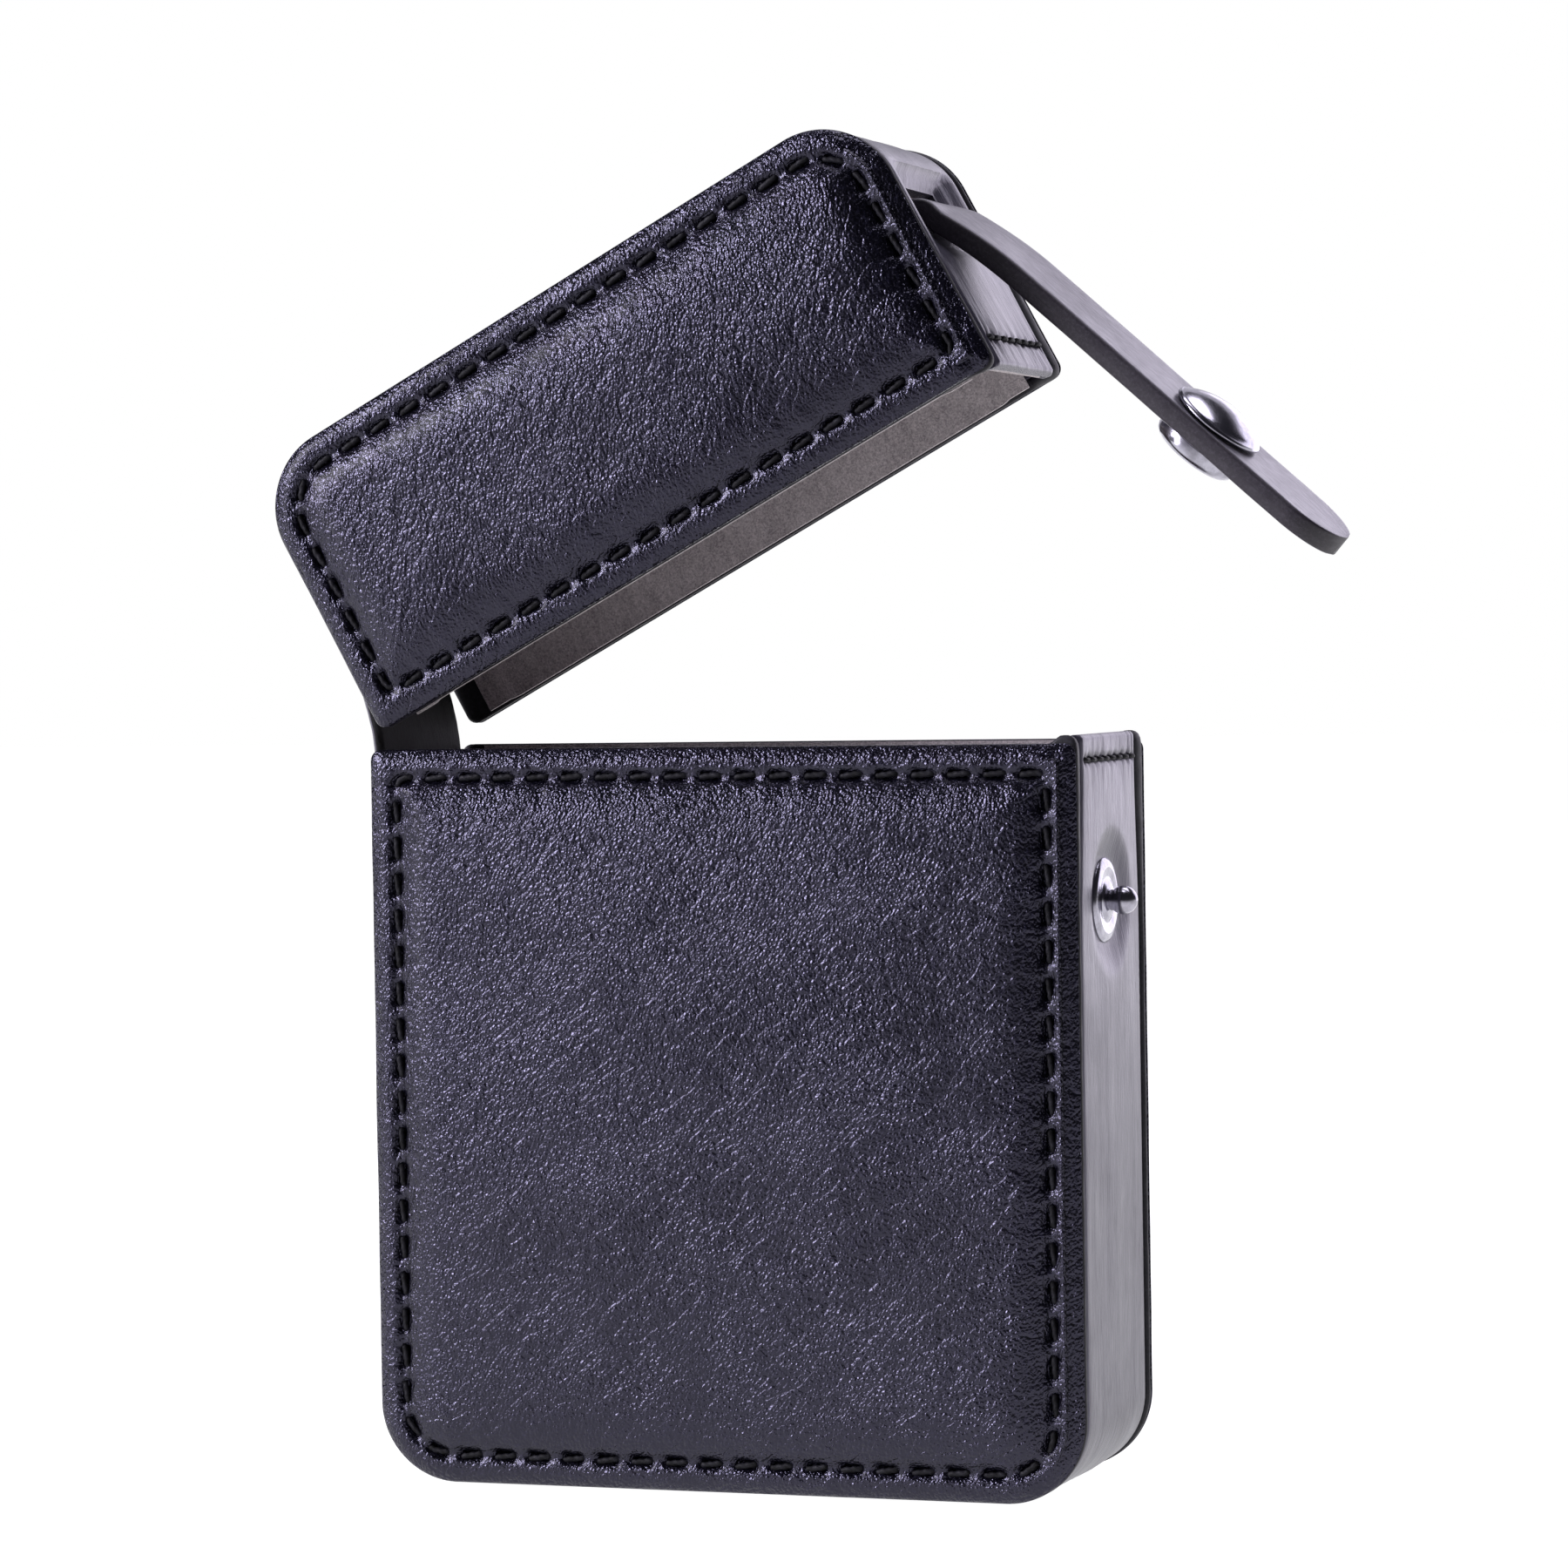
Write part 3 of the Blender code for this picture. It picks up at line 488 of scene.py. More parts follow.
# ---------------------------------------------------------------- walls
class Outline:
    """A wall's rounded outline between two heights; its mouth is at the high or the low one."""

    def __init__(self, low, high, low_radius, high_radius):
        self.low = low
        self.high = high
        self.low_radius = low_radius
        self.high_radius = high_radius
        self.mouth_high = high_radius < low_radius
        self.middle = (low + high) / 2
        soft_low = max(low_radius, SOFT_RADIUS)
        soft_high = max(high_radius, SOFT_RADIUS)
        corners = ((1, low, soft_low), (1, high, soft_high), (-1, high, soft_high), (-1, low, soft_low))
        self.corners = [
            (sign * (HALF_WIDTH - soft), edge + soft if edge == low else edge - soft, soft)
            for sign, edge, soft in corners
        ]
        bends = [(soft - STITCH_INSET) * math.pi / 2 for _, _, soft in self.corners]
        upright = high - low - soft_low - soft_high
        runs = [2 * (HALF_WIDTH - soft_low), upright, 2 * (HALF_WIDTH - soft_high), upright]
        self.lengths = [length for pair in zip(runs, bends) for length in pair]
        self.starts = np.concatenate([[0.0], np.cumsum(self.lengths)])
        self.stitches = int(round(self.starts[-1] / STITCH_PITCH))
        self.pitch = self.starts[-1] / self.stitches

    def below_mouth(self, z):
        return self.high - z if self.mouth_high else z - self.low

    def ring(self, inset, wide, tall):
        """The outline pulled in by inset, as four runs of (x, z) with wide or tall steps, anticlockwise."""
        low_radius = max(self.low_radius - inset, 0.0)
        high_radius = max(self.high_radius - inset, 0.0)
        half = HALF_WIDTH - inset
        low = self.low + inset
        high = self.high - inset
        bottom = side_run(2 * half, low_radius, low_radius, wide)
        right = side_run(high - low, low_radius, high_radius, tall)
        top = side_run(2 * half, high_radius, high_radius, wide)
        return (
            (-half + bottom[0], low - bottom[1]),
            (half + right[1], low + right[0]),
            (-half + top[0], high + top[1]),
            (-half - right[1], low + right[0]),
        )

    def loop(self, inset, wide, tall):
        """The same ring as one closed loop of (x, z)."""
        bottom, right, top, left = self.ring(inset, wide, tall)
        x, z = (
            np.concatenate([bottom[k][:-1], right[k][:-1], top[k][:0:-1], left[k][:0:-1]])
            for k in (0, 1)
        )
        return x, z

    def border(self, x, z):
        """For each point, its inset from the soft outline and its place along the stitch line."""
        room = np.stack([z - self.low, HALF_WIDTH - x, self.high - z, x + HALF_WIDTH])
        nearest = room.argmin(axis=0)
        inset = room.min(axis=0)
        along = np.zeros_like(inset)
        for side in range(4):
            ahead_x, ahead_z = ((1, 0), (0, 1), (-1, 0), (0, -1))[side]
            center_x, center_z, _ = self.corners[side - 1]
            gone = (x - center_x) * ahead_x + (z - center_z) * ahead_z
            along = np.where(nearest == side, self.starts[2 * side] + gone, along)
        for side, (center_x, center_z, soft) in enumerate(self.corners):
            away_x = x - center_x
            away_z = z - center_z
            sign_x = 1 if side < 2 else -1
            sign_z = 1 if side in (1, 2) else -1
            inside = (away_x * sign_x > 0) & (away_z * sign_z > 0)
            turned = (np.degrees(np.arctan2(away_z, away_x)) - (90 * side - 90)) % 360
            bent = self.starts[2 * side + 1] + np.radians(turned) * (soft - STITCH_INSET)
            inset = np.where(inside, soft - np.hypot(away_x, away_z), inset)
            along = np.where(inside, bent, along)
        return inset, along

    def on_stitch_line(self, along, out=0.0):
        """Points (x, z) on the stitch line, moved outwards by out."""
        along = np.asarray(along, float) % self.starts[-1]
        x = np.zeros_like(along)
        z = np.zeros_like(along)
        for side in range(4):
            angle = math.radians(90 * side - 90)
            before_x, before_z, before_soft = self.corners[side - 1]
            here_x, here_z, soft = self.corners[side]
            start, bend, end = self.starts[2 * side : 2 * side + 3]
            reach = before_soft - STITCH_INSET + out
            gone = along - start
            line_x = before_x + reach * math.cos(angle) - gone * math.sin(angle)
            line_z = before_z + reach * math.sin(angle) + gone * math.cos(angle)
            turned = angle + (along - bend) / (soft - STITCH_INSET)
            arc_x = here_x + (soft - STITCH_INSET + out) * np.cos(turned)
            arc_z = here_z + (soft - STITCH_INSET + out) * np.sin(turned)
            on_line = (along >= start) & (along <= bend)
            on_arc = (along >= bend) & (along <= end)
            x = np.where(on_arc, arc_x, np.where(on_line, line_x, x))
            z = np.where(on_arc, arc_z, np.where(on_line, line_z, z))
        return x, z


def side_run(length, first_radius, last_radius, steps):
    """Points (along, out) from the middle of one corner's arc to the middle of the next, evenly spaced."""
    quarter = math.pi / 4
    first_bend = first_radius * quarter
    last_bend = last_radius * quarter
    straight_run = length - first_radius - last_radius
    gone = np.linspace(0.0, first_bend + straight_run + last_bend, steps + 1)
    angle = quarter - gone / max(first_radius, 1e-9)
    along = first_radius - first_radius * np.sin(angle)
    out = -first_radius + first_radius * np.cos(angle)
    on_line = gone >= first_bend
    along = np.where(on_line, first_radius + gone - first_bend, along)
    out = np.where(on_line, 0.0, out)
    on_last = gone > first_bend + straight_run
    angle = (gone - first_bend - straight_run) / max(last_radius, 1e-9)
    along = np.where(on_last, length - last_radius + last_radius * np.sin(angle), along)
    out = np.where(on_last, -last_radius + last_radius * np.cos(angle), out)
    return along, out


BODY = Outline(0.0, BODY_HEIGHT, CORNER_RADIUS, MOUTH_RADIUS)
LID = Outline(LID_LOW, LID_HIGH, MOUTH_RADIUS, CORNER_RADIUS)


class Wall:
    """One padded wall: its outline, the side of the case that it closes, and the body that it rides on."""

    def __init__(self, name, outline, side, seed):
        self.name = name
        self.outline = outline
        self.side = side
        self.seed = seed
        self.body = "body" if outline is BODY else "lid"
        self.turn = BODY_TURN if outline is BODY else LID_TURN

    def noise(self, number, x, y):
        return Noise(self.seed + number)(x, y)

    def ring(self, inset, height, wide, tall):
        """A closed ring of points at an inset, at a height off the case's middle plane."""
        x, z = self.outline.loop(inset, wide, tall)
        return np.stack([x, np.full_like(x, self.side * height), z], axis=-1)

    def add(self, piece, finish, node, points, faces, **options):
        thing = make_object(f"{self.name}_{piece}", points, faces, (finish,), self.turn, **options)
        return place_piece(thing, self.body, finish, f"{self.name}_{node}")


def grid_insets(half):
    """Insets of the grid's rings, from the border to the middle: fine near the stitches, coarser inside."""
    insets = list(EDGE_INSETS)
    for end, step in ((FINE_END, FINE_STEP), (half, COARSE_STEP)):
        count = max(2, round((end - insets[-1]) / step))
        insets += list(np.linspace(insets[-1], end, count + 1)[1:])
    return insets


def panel_grid(outline):
    """A grid of points whose rings follow the outline; returns x, z, each point's inset, wide and tall."""
    half_tall = (outline.high - outline.low) / 2
    insets = grid_insets(min(half_tall, HALF_WIDTH))
    spare = max(0.0, 2 * (HALF_WIDTH - half_tall))
    tall = 2 * (len(insets) - 1)
    wide = tall + 2 * round(spare / 2 / COARSE_STEP)
    x = np.zeros((wide + 1, tall + 1))
    z = np.zeros_like(x)
    depth = np.zeros_like(x)
    for ring, inset in enumerate(insets):
        steps_wide = wide - 2 * ring
        steps_tall = tall - 2 * ring
        across = slice(ring, wide - ring + 1)
        up = slice(ring, tall - ring + 1)
        depth[across, up] = inset
        if steps_tall <= 0:
            line = side_run(2 * (HALF_WIDTH - inset), 0.0, 0.0, steps_wide)
            x[across, ring] = -HALF_WIDTH + inset + line[0]
            z[across, ring] = outline.middle
            continue
        bottom, right, top, left = outline.ring(inset, steps_wide, steps_tall)
        for part, place in (
            (left, (ring, up)),
            (right, (wide - ring, up)),
            (bottom, (across, ring)),
            (top, (across, tall - ring)),
        ):
            x[place] = part[0]
            z[place] = part[1]
    return x, z, depth, wide, tall


def grid_numbers(wide, tall):
    return np.arange((wide + 1) * (tall + 1)).reshape(wide + 1, tall + 1)


def grid_loop(wide, tall):
    """Vertex numbers round the grid's border, in the order of Outline.loop."""
    number = grid_numbers(wide, tall)
    return np.concatenate([number[:-1, 0], number[-1, :-1], number[:0:-1, -1], number[0, :0:-1]]).tolist()


def grid_faces(wide, tall):
    number = grid_numbers(wide, tall)
    corners = (number[:-1, :-1], number[1:, :-1], number[1:, 1:], number[:-1, 1:])
    return np.stack(corners, axis=-1).reshape(-1, 4).tolist()


def rim_faces(loop, start, mirrored):
    """Quads from a border loop to the points from start on: its mirror image, or a ring in loop order."""
    faces = []
    for step, number in enumerate(loop):
        after = (step + 1) % len(loop)
        far = (loop[after], number) if mirrored else (after, step)
        faces.append((number, loop[after], start + far[0], start + far[1]))
    return faces


def panel_rise(wall, x, z, border):
    """How far the outer leather stands off the plane of its border: groove, holes, puckers, pad and dents."""
    outline = wall.outline
    inset, along = outline.border(x, z)
    off_stitch = (along / outline.pitch % 1.0 - 0.5) * outline.pitch
    across = inset - STITCH_INSET + 0.11 * off_stitch + 0.05 * wall.noise(7, along / 2.3, 0 * along)
    pit = 1 - smooth(np.abs(off_stitch), 0.85, 1.45)
    inside = np.clip(inset - STITCH_INSET, 0.0, None)
    outside = np.clip(STITCH_INSET - inset, 0.0, None)

    groove_width = np.where(across < 0, 0.46, 0.62)
    groove = -(0.16 + 0.62 * pit) * np.exp(-np.abs(across / groove_width) ** 2.6)
    share = np.clip((inset - STITCH_INSET - 0.40) / 5.6, 0.0, 1.0)
    pad = 0.98 * (1 - (1 - share) ** 2.6)
    pull = -0.20 * pit * np.exp(-inside / 1.1) * (inset > STITCH_INSET)
    pull = pull - 0.07 * pit * np.exp(-outside / 0.7) * (inset <= STITCH_INSET)

    pleat = wall.noise(0, along / 0.85, inset / 3.5 + 7.0)
    fine_pleat = wall.noise(1, along / 0.42, inset / 2.2)
    mouth = smooth(-outline.below_mouth(z), -9, -4)
    strength = 0.45 + 0.55 * mouth if outline.mouth_high else 0.6
    spread = np.exp(-np.abs(inset - STITCH_INSET) / 1.7)
    puckers = strength * spread * (0.13 * pleat + 0.07 * fine_pleat)
    long_pleat = wall.noise(8, (along + 0.22 * inset) / 1.5, inset / 13)
    puckers = puckers + (0.02 + 0.07 * mouth) * long_pleat * np.exp(-inside / 7.0) * smooth(inside, 0.0, 1.5)

    middle = smooth(inset, 4.0, 9.0)
    wide_share = np.clip(1 - (x / (HALF_WIDTH - 3.5)) ** 2, 0.0, 1.0)
    tall_share = np.clip(1 - ((z - outline.middle) / ((outline.high - outline.low) / 2 - 3.5)) ** 2, 0.0, 1.0)
    crown_height, roll_height, roll_length = (0.90, 0.18, 20.0) if outline.mouth_high else (1.15, 0.42, 15.0)
    crown = crown_height * wide_share**0.6 * tall_share**0.75
    dents = roll_height * wall.noise(2, x / 22 + 3, z / roll_length)
    dents = dents + 0.035 * wall.noise(3, (x + 0.5 * z) / 9, (z - 0.5 * x) / 7 + 9)
    dents = dents + 0.030 * wall.noise(4, (0.78 * z - 0.62 * x) / 1.3, (0.62 * z + 0.78 * x) / 6.5)
    edge_wave = 0.04 * wall.noise(5, along / 6, inset / 4)
    swell = 0.10 * np.sin(np.pi * np.clip((border - 0.4) / 2.4, 0, 1))
    return groove + pad + pull + puckers + crown + middle * dents + edge_wave + swell


def edge_drop(x, border):
    """How far the rounded edge falls back from the border's plane; at the strap's side it ends in a ledge."""
    short = np.clip(1 - border / EDGE_ROLL, 0.0, 1.0)
    fall = EDGE_FALL * (1 - np.sqrt(np.maximum(1 - short**2, 0.0)))
    strap_side = smooth(x, HALF_WIDTH - 3.4, HALF_WIDTH - 2.2)
    ledge = LEDGE_DROP * (1 - smooth(border, LEDGE_INSET - 0.07, LEDGE_INSET + 0.09))
    ledge = ledge + 0.10 * (1 - smooth(border, 0.0, 0.5)) - 0.06 * bell(border - LEDGE_INSET - 0.22, 0.16)
    lip = 0.05 * bell(border - LEDGE_INSET - 0.2, 0.2)
    return fall * (1 - strap_side) + (0.55 * fall + ledge - lip) * strap_side


def build_skin(wall):
    """The padded outer leather, as a closed skin."""
    x, z, border, wide, tall = panel_grid(wall.outline)
    rise = panel_rise(wall, x, z, border) * smooth(border, 0.0, 0.9)
    depth = np.maximum(HALF_DEPTH + rise - edge_drop(x, border), EDGE_FLOOR)
    wobble = 0.05 * wall.noise(6, x / 9 + z / 13, z / 9 - x / 13) * (1 - smooth(border, 0.0, 3.0))
    top = np.stack([x + np.sign(x) * wobble, wall.side * depth, z], axis=-1).reshape(-1, 3)
    under = ((0.0, 13.10), (0.04, 13.03), (0.12, SKIN_FLOOR), (4.6, SKIN_FLOOR), (6.6, 13.72))
    points = [top] + [wall.ring(inset, height, wide, tall) for inset, height in under]
    loop = grid_loop(wide, tall)
    count = len(loop)
    faces = grid_faces(wide, tall) + rim_faces(loop, len(top), False)
    faces += loft_faces(len(under), count, caps=False, first=len(top))
    last = len(top) + (len(under) - 1) * count
    faces.append(tuple(last + step for step in range(count)))
    return wall.add("leather_skin", "panel_leather", "leather", np.concatenate(points), faces)


def build_pad(wall):
    """The foam slab under the leather: crowned, with pulled-in edges."""
    wide, tall = 60, 44
    flat = ((9.0, 0.0), (6.3, 0.0), (5.95, 0.12))
    insets = (5.9, 5.95, 6.15, 6.6, 7.4, 8.6, 10.5, 13.0)
    heights = (0.28, 0.42, 0.52, 0.58, 0.62, 0.65, 0.67, 0.68)
    rings = [wall.ring(inset, PAD_FLOOR + height, wide, tall) for inset, height in flat]
    for inset, height in zip(insets, heights):
        ring = wall.ring(inset, PAD_FLOOR + height, wide, tall)
        ring[:, 1] += wall.side * 0.015 * wall.noise(10, ring[:, 0] / 8, ring[:, 2] / 8)
        rings.append(ring)
    faces = loft_faces(len(rings), 2 * (wide + tall))
    return wall.add("foam_pad", "foam", "pad", np.concatenate(rings), faces)


def build_board(wall):
    """The board behind the leather: its painted edge is a soft bead round the border."""
    profile = (
        # inset, height off the middle plane, share of the flare
        (9.0, 12.70, 0.0),
        (1.2, 12.70, 0.0),
        (0.42, 12.70, 0.0),
        (0.20, 12.66, 0.0),
        (0.06, 12.55, 0.0),
        (0.0, 12.38, 0.0),
        (0.0, 12.12, 0.15),
        (0.06, 11.95, 0.45),
        (0.22, 11.84, 0.8),
        (0.45, 11.80, 1.0),
        (1.25, 11.80, 1.0),
        (1.40, 11.80, 0.0),
        (9.0, 11.80, 0.0),
    )
    outline = wall.outline
    wide, tall = (200, 200) if outline.mouth_high else (200, 84)
    rings = []
    for inset, height, flare in profile:
        x, z = outline.loop(inset, wide, tall)
        down = outline.below_mouth(z)
        folded = (1 - smooth(down, 2.0, 22.0)) * smooth(x, HALF_WIDTH - 4.0, HALF_WIDTH - 1.5)
        depth = height - 1.15 * flare * folded
        wave = 0.035 * wall.noise(11, x / 5 + z / 7, z / 5 - x / 7) * (inset < 1.0)
        tongue = (1 - smooth(down, 0.3, 1.6)) * smooth(x, HALF_WIDTH - 3.1, HALF_WIDTH - 1.6)
        tongue = tongue * (BODY_TONGUE if outline.mouth_high else -LID_TONGUE)
        rings.append(np.stack([x * (1 - wave / HALF_WIDTH), wall.side * depth, z + tongue], axis=-1))
    faces = loft_faces(len(profile), 2 * (wide + tall))
    return wall.add("board", "painted_edge", "backing", np.concatenate(rings), faces)


def build_wall_lining(wall):
    """Suede that covers the inside of a wall and the gusset's flanges, up to the mouth."""
    outline = wall.outline
    body = outline.mouth_high
    low = outline.low + (LINING_INSET if body else LINING_MOUTH_INSET)
    high = outline.high - (LINING_MOUTH_INSET if body else LINING_INSET)
    wide, tall = (110, 110) if body else (110, 46)
    u = np.linspace(-1, 1, wide + 1)[:, None]
    v = np.linspace(-1, 1, tall + 1)[None, :]
    z = (low + high) / 2 + (high - low) / 2 * v + 0 * u
    room = z - low if body else high - z
    shrink = np.clip(LINING_RADIUS - room, 0.0, LINING_RADIUS)
    bend = LINING_RADIUS - np.sqrt(np.maximum(LINING_RADIUS**2 - shrink**2, 0.0))
    half = HALF_WIDTH - LINING_INSET - bend
    x = u * half
    from_side = np.minimum(half - np.abs(x), room)
    face = 10.48 + 0.97 * smooth(from_side, 2.4, 3.6)
    face = face + 0.05 * wall.noise(12, x / 9, z / 9) * smooth(from_side, 1.0, 5.0)
    skins = [np.stack([x, wall.side * (face - thick), z], axis=-1).reshape(-1, 3) for thick in (0.0, 0.40)]
    start = len(skins[0])
    faces = grid_faces(wide, tall)
    faces += [tuple(start + corner for corner in reversed(quad)) for quad in faces]
    faces += rim_faces(grid_loop(wide, tall), start, True)
    return wall.add("suede", "suede_lining", "lining", np.concatenate(skins), faces, sharp=60)


def build_wall_stitches(wall):
    """The stitches of one perimeter: short twisted threads that dive into the holes."""
    outline = wall.outline
    rings, around, gap = 15, 10, 0.62
    share = np.linspace(0.0, 1.0, rings)
    points, faces, grain = [], [], []
    random = np.random.default_rng(SEED + wall.seed + 13)
    for stitch in range(outline.stitches):
        slant = 0.17 + random.uniform(-0.05, 0.05)
        radius = 0.31 + random.uniform(-0.02, 0.03)
        height = -0.45 + random.uniform(-0.04, 0.05)
        turns = 1.6 * share + random.uniform(0, 1)
        along = stitch * outline.pitch + gap + (outline.pitch - 2 * gap) * share
        x, z = outline.on_stitch_line(along, 0.0)
        x_out, z_out = outline.on_stitch_line(along, 1.0)
        depth = HALF_DEPTH + height - (0.62 + height) * np.abs(2 * share - 1) ** 5
        across, up = thread_offsets(radius * thread_taper(share, 0.55), 0.16, FULL_TURN * turns, around)
        up = up * 0.85
        out = (slant * (1 - 2 * share))[:, None] + across
        spots = (x[:, None] + (x_out - x)[:, None] * out, wall.side * (depth[:, None] + up))
        points.append(np.stack([*spots, z[:, None] + (z_out - z)[:, None] * out], axis=-1))
        grain.append(np.stack([across, up, along[:, None] + 0 * up], axis=-1))
        faces += loft_faces(rings, around, first=stitch * rings * around)
    return wall.add("stitches", "thread", "thread", np.array(points), faces, grain=np.array(grain), sharp=70)


def build_wall(wall):
    """The five pieces of one padded wall."""
    skin = build_skin(wall)
    pad = build_pad(wall)
    build_board(wall)
    build_wall_lining(wall)
    build_wall_stitches(wall)


# ---------------------------------------------------------------- gussets
def straight(first, last, step):
    """Places (x, z) from first towards last, which is left out."""
    count = max(1, round(math.dist(first, last) / step))
    return [tuple(a + (b - a) * k / count for a, b in zip(first, last)) for k in range(count)]


def arc_stations(center_x, center_z, start, sweep, count):
    stations = []
    for step in range(count):
        angle = math.radians(start + sweep * step / count)
        out_x = math.cos(angle)
        out_z = math.sin(angle)
        place = (center_x + CORNER_RADIUS * out_x, center_z + CORNER_RADIUS * out_z)
        stations.append((*place, GUSSET_INSET, out_x, out_z))
    return stations


def band_path(far, runs, arc_steps, hinge_end, hinge_reach, hinge_step, sagging):
    """Stations (x, z, inset, out_x, out_z) of a band, from its mouth round the far end to the hinge."""
    up = 1 if far > hinge_end else -1
    arc_x = HALF_WIDTH - CORNER_RADIUS
    arc_z = far - up * CORNER_RADIUS
    hinge_inset = HALF_WIDTH + HINGE_X - GUSSET_THICK / 2
    stations = []
    for first, last, step in runs:
        places = straight((HALF_WIDTH, first), (HALF_WIDTH, last), step)
        stations += [(x, z, GUSSET_INSET, 1.0, 0.0) for x, z in places]
    stations += arc_stations(arc_x, arc_z, 0, 90 * up, arc_steps)
    for x, z in straight((arc_x, far), (-arc_x, far), 0.9):
        sag = 1 - float(smooth(arc_x - abs(x), 0.0, 7.0)) if sagging else 1.0
        stations.append((x, z, GUSSET_INSET * sag, 0.0, float(up)))
    stations += arc_stations(-arc_x, arc_z, 90 * up, 90 * up, arc_steps)
    for x, z in straight((-HALF_WIDTH, arc_z), (-HALF_WIDTH, hinge_end), hinge_step):
        curve = float(smooth(hinge_reach - abs(z - hinge_end), 0.0, hinge_reach))
        stations.append((x, z, GUSSET_INSET + (hinge_inset - GUSSET_INSET) * curve, -1.0, 0.0))
    stations.append((-HALF_WIDTH, hinge_end, hinge_inset, -1.0, 0.0))
    return np.array(stations)


def body_path():
    runs = ((BODY_GUSSET_TOP, 62.0, 0.35), (62.0, CORNER_RADIUS, 0.8))
    return band_path(0.0, runs, 20, HINGE_FOOT, 8.0, 0.8, True)


def lid_path():
    arc_z = LID_HIGH - CORNER_RADIUS
    return band_path(LID_HIGH, ((LID_LOW, arc_z, 0.35),), 24, HINGE_HEAD, arc_z - HINGE_HEAD, 0.6, False)


def path_lengths(path):
    """Distance along a path, by station."""
    return np.concatenate([[0.0], np.cumsum(np.hypot(np.diff(path[:, 0]), np.diff(path[:, 1])))])


def on_strap_side(path, across):
    """Which points of a band lie on the strap's side, between the shoulders."""
    return (path[:, 3][:, None] > ON_SIDE) & (np.abs(across) < 11)


def slot_distance(path, across, slot):
    """How far each point of a band is outside the slot (low, high, half width)."""
    low, high, half = slot
    height = path[:, 1][:, None] + 0 * across
    away = np.maximum(np.maximum(low - height, height - high), np.abs(across) - half)
    return np.maximum(away, 0.0)


def pulled_in(path, across, slot):
    """How far the band is drawn in by the strap's slot, or by the stud where there is no slot."""
    if slot is None:
        depth = WEB_INSET - GUSSET_INSET - DISC_LIFT
        near = 1 - smooth(np.hypot(across, path[:, 1][:, None] - STUD_Z), 4.2, 8.0)
    else:
        depth = WEB_INSET - GUSSET_INSET
        near = 1 - smooth(slot_distance(path, across, slot), 0.3, 4.4)
    return depth * near * on_strap_side(path, across)


def channel_section():
    """The gusset's section (out, across): the outer face, and the inner face's points under it."""
    rim = [(-FLANGE_WIDTH, FLANGE_OUT), (-2.6, FLANGE_OUT), (-1.6, FLANGE_OUT)]
    flat = FLANGE_OUT - SHOULDER
    for step in range(7):
        angle = math.radians(90 * step / 6)
        rim.append((-SHOULDER + SHOULDER * math.sin(angle), flat + SHOULDER * math.cos(angle)))
    web = [(0.0, -flat + 2 * flat * step / WEB_STEPS) for step in range(1, WEB_STEPS)]
    outer = np.array([(out, -across) for out, across in rim] + web + rim[::-1])
    flange_in = FLANGE_OUT - 0.9
    inner_out = np.minimum(outer[:, 0], -GUSSET_THICK)
    inner_across = np.clip(outer[:, 1], -flange_in, flange_in)
    return outer, np.stack([inner_out, inner_across], axis=1)


def band_relief(path, gone, across, hem_at, seed):
    """How far the flat leather of a band stands off its plane: hem, holes, puckers, creases and streaks."""
    near_hem = gone - hem_at
    off_hole = ((across / HEM_PITCH + 0.5) % 1.0 - 0.5) * HEM_PITCH
    hole = bell(off_hole, 0.42)
    line = near_hem - 0.14 * Noise(seed)(across / 2.2, 0 * across)
    groove = -0.20 * bell(line, 0.34) - 0.26 * hole * bell(line, 0.50)
    above = np.clip(-near_hem, 0, None)
    below = np.clip(near_hem, 0, None)
    pleat = Noise(seed + 1)(across / 0.85, gone / 9)
    fine = Noise(seed + 2)(across / 0.45, gone / 5)
    fan = np.where(near_hem < 0, np.exp(-above / 3.0), np.exp(-below / 1.7))
    puckers = fan * (0.15 * pleat + 0.09 * fine) - 0.10 * hole * fan * np.exp(-np.abs(near_hem) / 1.0)
    web = bell(across / 11.2, 0.80)
    soft = 0.12 * web * smooth(gone, 0, 6) + 0.10 * Noise(seed + 3)(across / 9 + 5, gone / 16)
    streaks = 0.018 * Noise(seed + 4)(across / 0.7, gone / 14)
    streaks = streaks + 0.03 * Noise(seed + 5)(across / 2.2, gone / 22)
    return smooth(10.9 - np.abs(across), 0.0, 1.2) * (groove + puckers + soft + streaks)


def carried(path, reach, across, shift=0.0):
    """Points at distances reach out of a path's stations."""
    x = path[:, 0][:, None] + reach * path[:, 3][:, None]
    z = path[:, 1][:, None] + reach * path[:, 4][:, None] + shift
    return np.stack([x, across + 0 * x, z], axis=-1)


def two_skins(outer, inner):
    """Rings that run along the outer skin and back along the inner one."""
    return np.concatenate([outer, inner[:, ::-1]], axis=1)


def slot_cells(path, across, slot, margin=0.0, margin_across=0.0):
    """The (row, column) cells of a band that lie in the slot, which may be cut wider by two margins."""
    cells = set()
    if slot is None:
        return cells
    low, high, half = slot
    for row in range(len(path) - 1):
        ends = (path[row, 1], path[row + 1, 1])
        if path[row, 3] < ON_SIDE or min(ends) < low - margin or max(ends) > high + margin:
            continue
        for column in range(len(across) - 1):
            if max(abs(across[column]), abs(across[column + 1])) <= half + margin_across:
                cells.add((row, column))
    return cells


